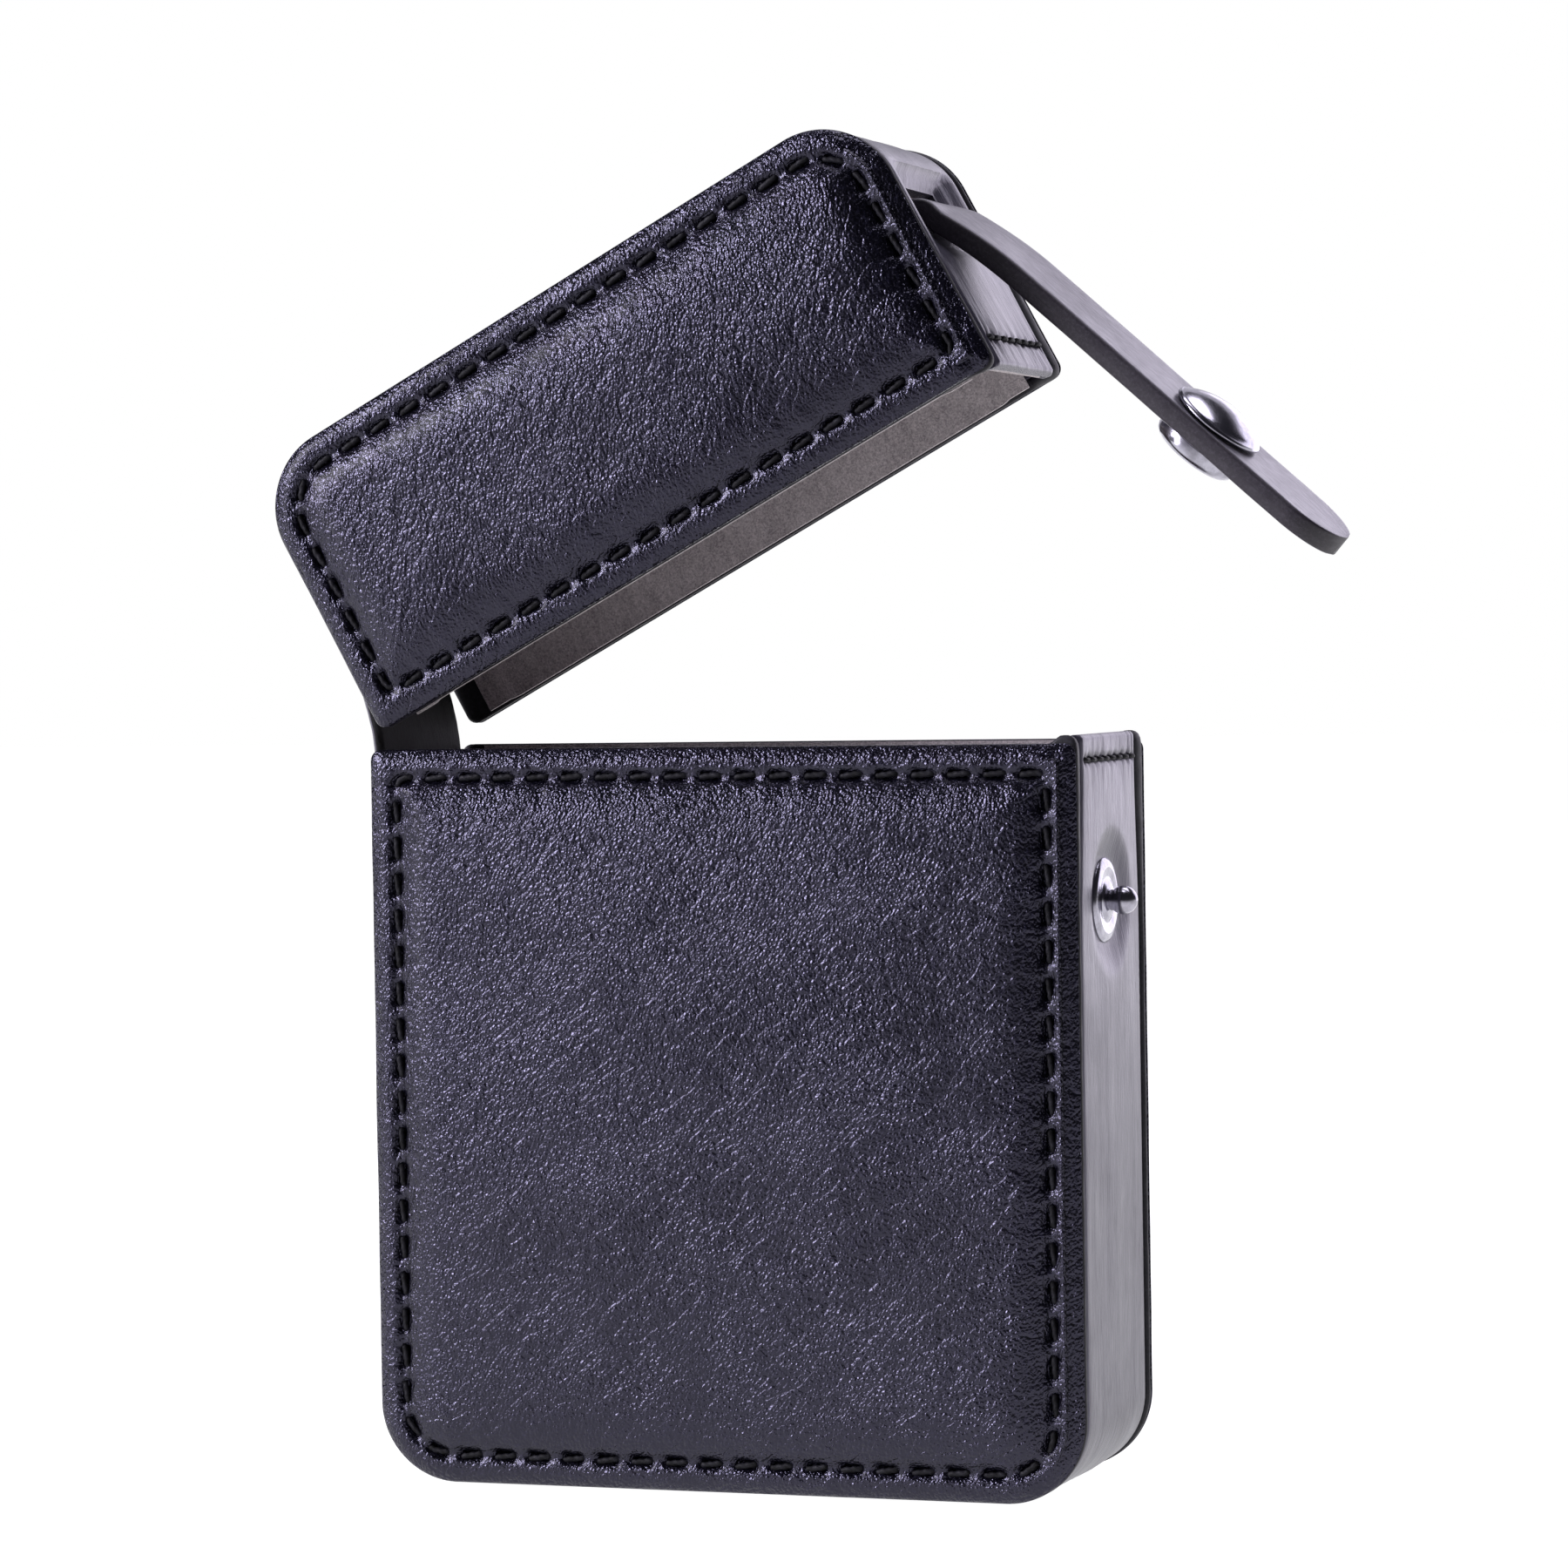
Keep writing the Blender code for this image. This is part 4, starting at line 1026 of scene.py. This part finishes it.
def band_faces(rows, count, cut):
    """Faces of a band of two skins, count points each, with the cells in cut taken out and walled."""
    around = 2 * count

    def over(row, column):
        return row * around + column

    def under(row, column):
        return row * around + around - 1 - column

    faces = []
    for row in range(rows - 1):
        for column in range(around):
            if (row, column) in cut or (row, around - 2 - column) in cut:
                continue
            after = (column + 1) % around
            faces.append((over(row, column), over(row, after), over(row + 1, after), over(row + 1, column)))
    for row, column in cut:
        here, right, ahead, far = (row, column), (row, column + 1), (row + 1, column), (row + 1, column + 1)
        walls = (
            ((row - 1, column), here, right),
            (ahead, ahead, far),
            ((row, column - 1), here, ahead),
            (right, right, far),
        )
        for neighbour, first, second in walls:
            if neighbour not in cut:
                faces.append((over(*first), over(*second), under(*second), under(*first)))
    for row in (0, rows - 1):
        for column in range(count - 1):
            right = column + 1
            faces.append((over(row, column), over(row, right), under(row, right), under(row, column)))
    return faces


def build_band(name, path, mouth, hem, seed, turn, slot):
    """The leather band: a channel with soft shoulders, fine creases and a stitched hem near the mouth."""
    outer, inner = channel_section()
    out = outer[None, :, 0]
    gone = path_lengths(path)[:, None]
    across = outer[None, :, 1] + 0 * gone
    rise = band_relief(path, gone, across, abs(hem - mouth), seed)
    rise = rise - pulled_in(path, across, slot) * (out > -1.0)
    if slot is not None:
        away = slot_distance(path, across, slot)
        lips = -0.38 * bell(away, 0.55) + 0.16 * bell(away - 1.1, 0.7)
        rise = rise + np.where(on_strap_side(path, across), lips, 0.0)

    flare = (1 - smooth(np.abs(path[:, 1] - mouth), 2.0, 22.0)) * (path[:, 3] > ON_SIDE)
    narrow = FOLD_NARROW * flare[:, None] * smooth(np.abs(across), 8.0, 11.0) * (out > -2.0)
    rounded_end = 0.30 * (1 - np.sqrt(np.clip(1 - (1 - np.clip(gone / 0.5, 0, 1)) ** 2, 0, 1)))
    out_outer = out + rise - rounded_end * (out > -0.5)
    least = 0.25 + 0.5 * smooth(gone, 0.0, 0.35) * (out > -0.5)
    out_inner = np.minimum(inner[None, :, 0] + rise, out_outer - least)
    fold = math.copysign(FOLD_TUCK, path[-1, 1] - mouth) * (1 - smooth(gone, 0.0, 4.0))
    inset = path[:, 2][:, None]
    skins = []
    for reach, side_ways in ((out_outer, across), (out_inner, inner[None, :, 1] + 0 * gone)):
        drawn = side_ways - np.sign(side_ways) * narrow
        skins.append(carried(path, reach - inset, drawn, fold * smooth(-reach, 1.3, 2.6)))

    points = two_skins(*skins)
    level = two_skins(0 * across, 0 * across - 40.0)
    grain = np.stack([two_skins(across, across), level, gone + 0 * level], axis=-1)
    faces = band_faces(len(path), len(outer), slot_cells(path, outer[:, 1], slot))
    band = make_object(f"{name}_gusset_band", points, faces, ("gusset_leather",), turn, grain=grain, sharp=60)
    place_piece(band, name, "gusset_leather", f"{name}_gusset")


def build_band_lining(name, path, seed, turn, slot):
    """Suede along the inside of the band."""
    steps = 24
    across = np.linspace(-10.25, 10.25, steps + 1)
    path = path[1:]
    gone = path_lengths(path)[:, None]
    wave = 0.04 * Noise(seed)(across / 6, gone / 8)
    drawn = pulled_in(path, across + 0 * gone, slot)
    skins = [carried(path, level + wave - path[:, 2][:, None] - drawn, across) for level in (-1.42, -1.80)]
    faces = band_faces(len(path), steps + 1, slot_cells(path, across, slot, 0.4, 0.6))
    lining = make_object(f"{name}_gusset_suede", two_skins(*skins), faces, ("suede_lining",), turn, sharp=60)
    place_piece(lining, name, "suede_lining", f"{name}_gusset_lining")


def build_hem_stitches(name, hem, seed, turn):
    """The short row of stitches across the band."""
    rings, around, gap = 13, 8, 0.10
    random = np.random.default_rng(SEED + seed)
    share = np.linspace(0.0, 1.0, rings)
    points, faces, grain = [], [], []
    for stitch in range(-4, 4):
        slant = random.uniform(0.03, 0.10)
        turns = 1.4 * share + random.uniform(0, 1)
        out, up = thread_offsets(0.25 * thread_taper(share, 0.6), 0.14, FULL_TURN * turns, around)
        along = (stitch * HEM_PITCH + gap + (HEM_PITCH - 2 * gap) * share)[:, None] + 0 * out
        center_x = HALF_WIDTH - GUSSET_INSET + 0.10 - 0.60 * np.abs(2 * share - 1) ** 4
        center_z = hem + slant * (1 - 2 * share)
        faces += loft_faces(rings, around, first=len(points) * rings * around)
        points.append(np.stack([center_x[:, None] + out, along, center_z[:, None] + up], axis=-1))
        grain.append(np.stack([up, out, along], axis=-1))
    name_of_row = f"{name}_mouth_stitches"
    points, grain = np.array(points), np.array(grain)
    row = make_object(name_of_row, points, faces, ("thread",), turn, grain=grain, sharp=70)
    place_piece(row, name, "thread", f"{name}_mouth_thread")


# ---------------------------------------------------------------- hinge
def hinge_path():
    """The strip's centre line at rest, a smooth curve through the two bends, as stations like band_path's."""
    first = Vector((HINGE_X, 0, HINGE_FOOT)) * MM
    last = LID_TURN @ (Vector((HINGE_X, 0, HINGE_HEAD)) * MM)
    lid_up = (LID_TURN.to_3x3() @ Vector((0, 0, 1))).normalized()
    reach = (last - first).length * 0.36
    second = first + Vector((0, 0, 1)) * reach
    third = last - lid_up * reach
    path = []
    steps = 56
    for step in range(steps + 1):
        t = step / steps
        left = 1 - t
        spot = first * left**3 + second * (3 * t * left**2) + third * (3 * t * t * left) + last * t**3
        heading = (second - first) * (3 * left**2) + (third - second) * (6 * t * left)
        heading = (heading + (last - third) * (3 * t * t)).normalized()
        path.append((spot.x / MM, spot.z / MM, 0.0, -heading.z, heading.x))
    return np.array(path)


def build_hinge():
    """The leather hinge, in two pieces that meet in the middle of the strip."""
    path = hinge_path()
    end = len(path) - 1
    middle = len(path) // 2
    gone = path_lengths(path)[:, None]
    steps = 44
    half = FLANGE_OUT - 0.42
    across = np.linspace(-half, half, steps + 1)
    edge = np.clip((np.abs(across) - half + 0.5) / 0.5, 0, 1)
    thin = GUSSET_THICK / 2 * (1 - 0.75 * (1 - np.sqrt(np.clip(1 - edge**2, 0, 1))))
    wrinkle = 0.05 * Noise(71)(across / 1.6, gone / 6) + 0.06 * Noise(72)(across / 9, gone / 1.7)
    wrinkle = wrinkle * np.sin(np.pi * np.arange(end + 1) / end)[:, None]
    points = two_skins(carried(path, thin + wrinkle, across), carried(path, -thin + 0.6 * wrinkle, across))
    wide = across + 0 * gone
    level = two_skins(0 * wide, 0 * wide - 40.0)
    grain = np.stack([two_skins(wide, wide), level, 260.0 + gone + 0 * level], axis=-1)
    around = 2 * (steps + 1)
    made = []
    for part, first, last in (("body_side", 0, middle), ("lid_side", middle, end)):
        here = slice(first, last + 1)
        faces = loft_faces(last - first + 1, around)
        second = [0 if k <= steps else 1 for k in range(around)] * (last - first) + [0, 0]
        finishes = ("gusset_leather", "flesh_side")
        options = {"grain": grain[here], "sharp": 60, "second": second}
        made.append(make_object(f"hinge_leather_{part}", points[here], faces, finishes, **options))
    lower = joint_place("lid_hinge_lower")
    upper = joint_place("lid_hinge_upper")
    for thing, bodies, place in ((made[0], ("body", "hinge"), lower), (made[1], ("hinge", "lid"), upper)):
        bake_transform(thing)
        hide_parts("hinge_strip")


# ---------------------------------------------------------------- strap
def strap_heading(along):
    """The strap's heading from straight down, in degrees, by distance from the pivot."""
    if along >= STRAP_ROOT_LENGTH:
        return STRAP_HANG_ANGLE
    if along >= 0:
        bend = STRAP_ROOT_ANGLE - STRAP_HANG_ANGLE
        return STRAP_HANG_ANGLE + bend * (1 - along / STRAP_ROOT_LENGTH)
    return STRAP_ROOT_ANGLE + STRAP_SLOT_ANGLE * float(smooth(-along, 0.0, 2.4))


def strap_line(start, end, step):
    """Stations along the strap at rest, in shut-lid coordinates: place, outward, sideways and distance."""
    fine = 0.05
    table = {}
    for direction, limit in ((-1, start), (1, end)):
        place = Vector((0.0, 0.0, 0.0))
        along = 0.0
        table[0.0] = place.copy()
        while (limit - along) * direction > 1e-9:
            middle = math.radians(strap_heading(along + direction * fine / 2))
            place = place + direction * fine * Vector((math.sin(middle), 0, -math.cos(middle)))
            along += direction * fine
            table[round(along, 4)] = place.copy()
    keys = np.array(sorted(table))
    places = np.array([table[key][:] for key in sorted(table)])
    hang = math.radians(STRAP_HANG_ANGLE)
    length_axis = Vector((math.sin(hang), 0, -math.cos(hang)))
    pivot = Vector((STRAP_PIVOT_X, 0, SLOT_Z))
    count = round((end - start) / step)
    stations = []
    for number in range(count + 1):
        along = start + (end - start) * number / count
        spot = Vector([float(np.interp(along, keys, places[:, k])) for k in range(3)])
        angle = math.radians(strap_heading(along))
        twist = Matrix.Rotation(math.radians(STRAP_TWIST) * float(smooth(along, -1.0, 1.6)), 3, length_axis)
        outward = twist @ Vector((math.cos(angle), 0, math.sin(angle)))
        sideways = twist @ Vector((0, 1, 0))
        stations.append((pivot + twist @ spot, outward, sideways, along))
    return stations


def layer_section(face_level):
    """A layer's section (across, level), from its face to the strap's middle, and which faces are edge."""
    sign = math.copysign(1, face_level)
    half = STRAP_HALF_WIDTH
    bend = 0.46
    steps = 6
    face = [(-half + bend + (2 * half - 2 * bend) * k / 16, face_level) for k in range(17)]
    right = []
    for step in range(1, steps + 1):
        angle = math.radians(90 * step / steps)
        level = face_level - sign * (bend - bend * math.cos(angle))
        right.append((half - bend + bend * math.sin(angle), level))
    right += [(half + 0.05, sign * 0.36), (half + 0.07, sign * 0.10), (half + 0.07, 0.0)]
    left = [(-across, level) for across, level in reversed(right)]
    section = face + right + left
    turned_over = len(face) + len(right)
    edge = [18 <= k < turned_over - 1 or turned_over <= k < len(section) - 2 for k in range(len(section))]
    return section, edge


def tip_half(along):
    """Half width of the strap, rounded at its tip."""
    share = 1 - min((STRAP_END - along) / STRAP_HALF_WIDTH, 1.0)
    return STRAP_HALF_WIDTH * math.sqrt(max(1 - share**2, 0.0))


def build_strap_layer(name, line, face_level, seed):
    """One leather layer of one part of the strap."""
    section, edge = layer_section(face_level)
    noise = Noise(seed)
    points, grain = [], []
    for place, outward, sideways, along in line:
        squeeze = max(tip_half(along), 0.35) / STRAP_HALF_WIDTH
        wave = 0.03 * float(noise(along / 7, 0.3))
        for across, level in section:
            dish = -0.05 * (1 - (across / STRAP_HALF_WIDTH) ** 2)
            if level == -STRAP_HALF_THICK and math.hypot(across, along - SNAP_AT) < BORE_RADIUS:
                level = -BORE_LEFT
            spot = place + outward * (level + wave + dish) + sideways * (across * squeeze)
            points.append(spot[:])
            grain.append((across, level, 300.0 + along))
    faces = loft_faces(len(line), len(section))
    second = [int(is_edge) for is_edge in edge] * (len(line) - 1) + [1, 1]
    finishes = ("strap_leather", "strap_painted_edge")
    return make_object(name, points, faces, finishes, LID_TURN, grain=grain, sharp=48, second=second)


def build_strap():
    """Both layers of both parts of the strap."""
    root_line = strap_line(STRAP_START, STRAP_MEETING, 0.3)
    free_line = strap_line(STRAP_MEETING, STRAP_END - 0.02, 0.35)
    for word, face_level, seed in (("outer", STRAP_HALF_THICK, 81), ("inner", -STRAP_HALF_THICK, 82)):
        thing = build_strap_layer(f"strap_root_{word}_layer", root_line, face_level, seed)
        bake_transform(thing)
        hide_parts(f"strap_root_{word}_leather")
        thing = build_strap_layer(f"strap_free_{word}_layer", free_line, face_level, seed)
        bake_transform(thing)
        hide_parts(f"strap_free_{word}_leather")


def build_anchor():
    """The strap's sewn end inside the lid."""
    x = WEB_X - 0.55
    bend = 1.05
    line = [(x - 1.5 * k / 5, SLOT_Z, 90.0) for k in range(6)]
    center_x = line[-1][0]
    center_z = SLOT_Z - bend
    for step in range(1, 9):
        degrees = 90 * step / 8
        angle = math.radians(degrees)
        line.append((center_x - bend * math.sin(angle), center_z + bend * math.cos(angle), 90.0 - degrees))
    last_x, last_z, _ = line[-1]
    line += [(last_x, last_z - 8.6 * k / 20, 0.0) for k in range(1, 21)]
    half = STRAP_HALF_WIDTH - 0.4
    ring = [(-1, -0.7), (-0.96, -0.88), (-0.9, -0.9), (0.9, -0.9), (0.96, -0.88), (1, -0.7)]
    ring += [(across, -level) for across, level in reversed(ring)]
    points, grain = [], []
    for index, (spot_x, spot_z, degrees) in enumerate(line):
        up_x = -math.cos(math.radians(degrees))
        up_z = math.sin(math.radians(degrees))
        left = len(line) - 1 - index
        round_end = math.sqrt(max(1 - (1 - min(left / 5, 1.0)) ** 2, 0.0)) * 1.4
        width = half - 1.4 + round_end if left < 5 else half
        for across, level in ring:
            points.append((spot_x + up_x * level, across * width, spot_z + up_z * level))
            grain.append((across * width, level, 400.0 + index * 0.4))
    faces = loft_faces(len(line), len(ring))
    finishes = ("strap_leather",)
    thing = make_object("strap_anchor_leather", points, faces, finishes, LID_TURN, grain=grain, sharp=50)
    place_piece(thing, "lid", "strap_leather", "strap_anchor_tab")


# ---------------------------------------------------------------- metal
TURN_STEPS = 96


def turned(name, profile, axis, finish, body, node, turn, closed=False):
    """A turned piece from (radius, distance out) points, about an axis given as centre, outward, sideways."""
    center, outward, sideways = axis
    third = outward.cross(sideways)
    points, grain = [], []
    for radius, out in profile:
        reach = max(radius, 0.004)
        for step in range(TURN_STEPS):
            angle = FULL_TURN * step / TURN_STEPS
            spot = center + outward * out + (sideways * math.cos(angle) + third * math.sin(angle)) * reach
            points.append(spot[:])
            grain.append((out, reach * math.cos(angle), reach * math.sin(angle)))
    faces = loft_faces(len(profile), TURN_STEPS, closed=closed)
    thing = make_object(name, points, faces, (finish,), turn, grain=grain, sharp=32)
    place_piece(thing, body, finish, node)


def rounded(points, radius, steps=4):
    """A profile with small rounds at its corners."""
    made = [points[0]]
    for before, here, after in zip(points, points[1:], points[2:]):
        here = Vector(here)
        back = Vector(before) - here
        ahead = Vector(after) - here
        cut = min(radius, back.length * 0.45, ahead.length * 0.45)
        start = here + back.normalized() * cut
        end = here + ahead.normalized() * cut
        for step in range(steps + 1):
            t = step / steps
            spot = start * (1 - t) ** 2 + here * (2 * t * (1 - t)) + end * t * t
            made.append((spot.x, spot.y))
    made.append(points[-1])
    return made


def arc_profile(radius, middle_radius, middle_out, start, end, steps):
    """Points (radius, out) round a centre, by angle from straight out."""
    points = []
    for step in range(steps + 1):
        angle = math.radians(start + (end - start) * step / steps)
        points.append((middle_radius + radius * math.sin(angle), middle_out + radius * math.cos(angle)))
    return points


def build_stud():
    """Base disc with a raised ring, neck and ball, and the cap inside the case."""
    axis = (Vector((WEB_X, 0, STUD_Z)), Vector((1, 0, 0)), Vector((0, 1, 0)))
    disc = [
        (0.9, -0.10),
        (4.45, -0.10),
        (4.5, 0.22),
        (4.15, 0.50),
        (3.5, 0.62),
        (2.7, 0.50),
        (2.35, 0.46),
        (2.1, 0.60),
        (1.75, 0.78),
        (1.35, 0.84),
        (1.10, 0.91),
    ]
    base = [(0.0, -1.8), (0.9, -1.8)] + [(radius, DISC_LIFT + out) for radius, out in disc]
    head = arc_profile(1.5, 0.0, 2.7, 180 - 47.2, 0, 18)
    cap = [(0.0, -2.1), (2.95, -2.1), (3.0, -2.3), (2.5, -2.58), (1.2, -2.68), (0.0, -2.7)]
    profiles = {"snap_stud": rounded(base, 0.14) + head, "snap_stud_back_cap": rounded(cap, 0.12)}
    for node, profile in profiles.items():
        turned(f"{node}_turned", profile, axis, "chrome", "body", node, BODY_TURN)


def build_strap_snap():
    """Cap, post, socket and spring on the strap."""
    axis = strap_line(SNAP_AT, SNAP_AT + 0.35, 0.35)[0][:3]
    half = STRAP_HALF_THICK
    cap_base = half + 0.06
    cap = [(0.0, 0.0), (4.8, 0.0), (5.15, 0.16), (5.2, 0.40), (5.02, 0.64)]
    cap = rounded([(radius, cap_base + out) for radius, out in cap], 0.10)
    for step in range(17):
        share = 1 - step / 16
        cap.append((4.75 * share, cap_base + 0.72 + 1.45 * (1 - share**2) ** 0.9))
    post = [(1.8, -half), (2.15, -half), (2.15, half), (1.8, half)]
    top = -half - 0.06
    low = -half - 2.1
    socket = [
        (1.9, low + 0.06),
        (2.1, low),
        (3.3, low),
        (3.75, low + 0.06),
        (4.25, low + 0.24),
        (4.62, low + 0.56),
        (4.8, low + 0.98),
        (4.8, top - 0.12),
        (4.7, top),
        (1.9, top),
        (1.9, top - 0.3),
        (2.75, top - 0.36),
        (2.75, low + 0.36),
        (1.9, low + 0.30),
    ]
    spring = arc_profile(0.3, 2.15, -half - 1.2, 90, -240, 11)
    for name, profile, finish, node, closed in (
        ("snap_cap_domed", cap, "chrome", "snap_cap", False),
        ("snap_post_tube", post, "chrome", "snap_post", True),
        ("snap_socket_turned", socket, "chrome", "snap_socket", True),
        ("snap_spring_ring", spring, "spring_steel", "snap_spring", True),
    ):
        turned(name, profile, axis, finish, "strap_free", node, LID_TURN, closed)


# ---------------------------------------------------------------- stage
CAMERA_AZIMUTH = math.radians(19.17)
CAMERA_ELEVATION = math.radians(1.54)
CAMERA_ROLL = math.radians(-0.909)
CAMERA_PLACE = (0.18671, -0.52844, 0.08874)
CAMERA_LENS = 120.84
STAGE_MIDDLE = (0.0, 0.0, 0.07)
COOL = (0.92, 0.89, 1.0)
LIGHTS = (
    # name, place, size, power, colour
    ("key", (-0.84, -0.56, 0.52), (0.42, 0.36), 16.0, COOL),
    ("left_side", (-0.78, -0.70, 0.12), (0.25, 0.60), 3.5, COOL),
    ("front_soft", (-0.88, -1.21, 0.45), (1.15, 0.90), 1.5, COOL),
    ("back_right", (0.34, 0.86, 0.20), (0.85, 0.80), 3.6, (0.90, 0.84, 1.0)),
    ("backdrop", (0.0, 1.70, 0.60), (3.2, 1.6), 12.0, COOL),
    ("top_soft", (0.10, 0.10, 0.85), (0.60, 0.60), 5.0, COOL),
)


def make_camera():
    """The photograph's view."""
    level = math.cos(CAMERA_ELEVATION)
    right_x = math.cos(CAMERA_AZIMUTH)
    right_y = math.sin(CAMERA_AZIMUTH)
    back = Vector((right_y * level, -right_x * level, math.sin(CAMERA_ELEVATION)))
    right = Vector((right_x, right_y, 0))
    up = back.cross(right)
    rolled_right = right * math.cos(CAMERA_ROLL) + up * math.sin(CAMERA_ROLL)
    rolled_up = up * math.cos(CAMERA_ROLL) - right * math.sin(CAMERA_ROLL)
    data = bpy.data.cameras.new("camera")
    data.lens = CAMERA_LENS
    data.sensor_width = 36.0
    data.clip_start = 0.01
    camera = bpy.data.objects.new("camera", data)
    bpy.context.scene.collection.objects.link(camera)
    axes = Matrix((rolled_right, rolled_up, back)).transposed().to_4x4()
    camera.matrix_world = Matrix.Translation(Vector(CAMERA_PLACE)) @ axes
    bpy.context.scene.camera = camera


def make_lights():
    """Soft rectangular lights aimed at the case, not seen by the camera."""
    for name, place, size, power, color in LIGHTS:
        data = bpy.data.lights.new(name, "AREA")
        data.shape = "RECTANGLE"
        data.size, data.size_y = size
        data.energy = power
        data.color = color
        light = bpy.data.objects.new(name, data)
        bpy.context.scene.collection.objects.link(light)
        light.location = place
        light.rotation_euler = (Vector(STAGE_MIDDLE) - Vector(place)).to_track_quat("-Z", "Y").to_euler()
        light.visible_camera = False


def make_world():
    """White to the camera, dim to everything else."""
    world = bpy.data.worlds.new("studio")
    bpy.context.scene.world = world
    world.use_nodes = True
    tree = world.node_tree
    seen = tree.nodes["Background"]
    dim = tree.nodes.new("ShaderNodeBackground")
    for made, color, strength in ((seen, (1.0, 1.0, 1.0, 1.0), 1.0), (dim, (0.80, 0.80, 1.0, 1.0), 0.03)):
        made.inputs["Color"].default_value = color
        made.inputs["Strength"].default_value = strength
    path = tree.nodes.new("ShaderNodeLightPath")
    mix = tree.nodes.new("ShaderNodeMixShader")
    sources = (path.outputs["Is Camera Ray"], dim.outputs[0], seen.outputs[0])
    for number, source in enumerate(sources):
        tree.links.new(source, mix.inputs[number])
    tree.links.new(mix.outputs[0], tree.nodes["World Output"].inputs["Surface"])


def make_floor():
    """A pale floor that glows towards the back and fades out in front of the case."""
    half = 4.0
    low = -0.0003
    mesh = bpy.data.meshes.new("floor")
    corners = [(-half, -half, low), (half, -half, low), (half, half, low), (-half, half, low)]
    mesh.from_pydata(corners, [], [(0, 1, 2, 3)])
    floor = bpy.data.objects.new("floor", mesh)
    bpy.context.scene.collection.objects.link(floor)
    graph = Graph("floor_paper", on_floor=True)
    cloud = graph.noise(6.0, 2.0)
    graph.set(Base_Color=graph.mix(cloud, (0.22, 0.22, 0.225), (0.26, 0.26, 0.26)))
    graph.set(Roughness=0.9, Specular_IOR_Level=0.1)
    split = graph.node("ShaderNodeSeparateXYZ", Vector=graph.at)
    depth = graph.add((split.outputs["Y"], 1.0), (split.outputs["X"], -0.45))
    glow = graph.span(depth, -0.42, -0.085, 0.05, 1.0)
    graph.set(Emission_Color=(1.0, 1.0, 1.0, 1.0), Emission_Strength=glow)
    mesh.materials.append(graph.material)


# ---------------------------------------------------------------- assembly
def build_all():
    for name, outline, side, seed in (
        ("body_front", BODY, -1, 100),
        ("body_back", BODY, 1, 200),
        ("lid_front", LID, -1, 300),
        ("lid_back", LID, 1, 400),
    ):
        build_wall(Wall(name, outline, side, seed))
    for name, path, mouth, hem, seed, turn, slot in (
        ("body", body_path(), BODY_GUSSET_TOP, BODY_HEM, 500, BODY_TURN, None),
        ("lid", lid_path(), LID_LOW, LID_HEM, 600, LID_TURN, STRAP_SLOT),
    ):
        build_band(name, path, mouth, hem, seed, turn, slot)
        build_band_lining(name, path, seed + 20, turn, slot)
        build_hem_stitches(name, hem, seed + 30, turn)
    build_hinge()
    build_strap()
    build_anchor()
    build_stud()
    build_strap_snap()


build_all()
make_world()
make_floor()
make_lights()
make_camera()
bpy.context.scene.view_settings.view_transform = "Standard"
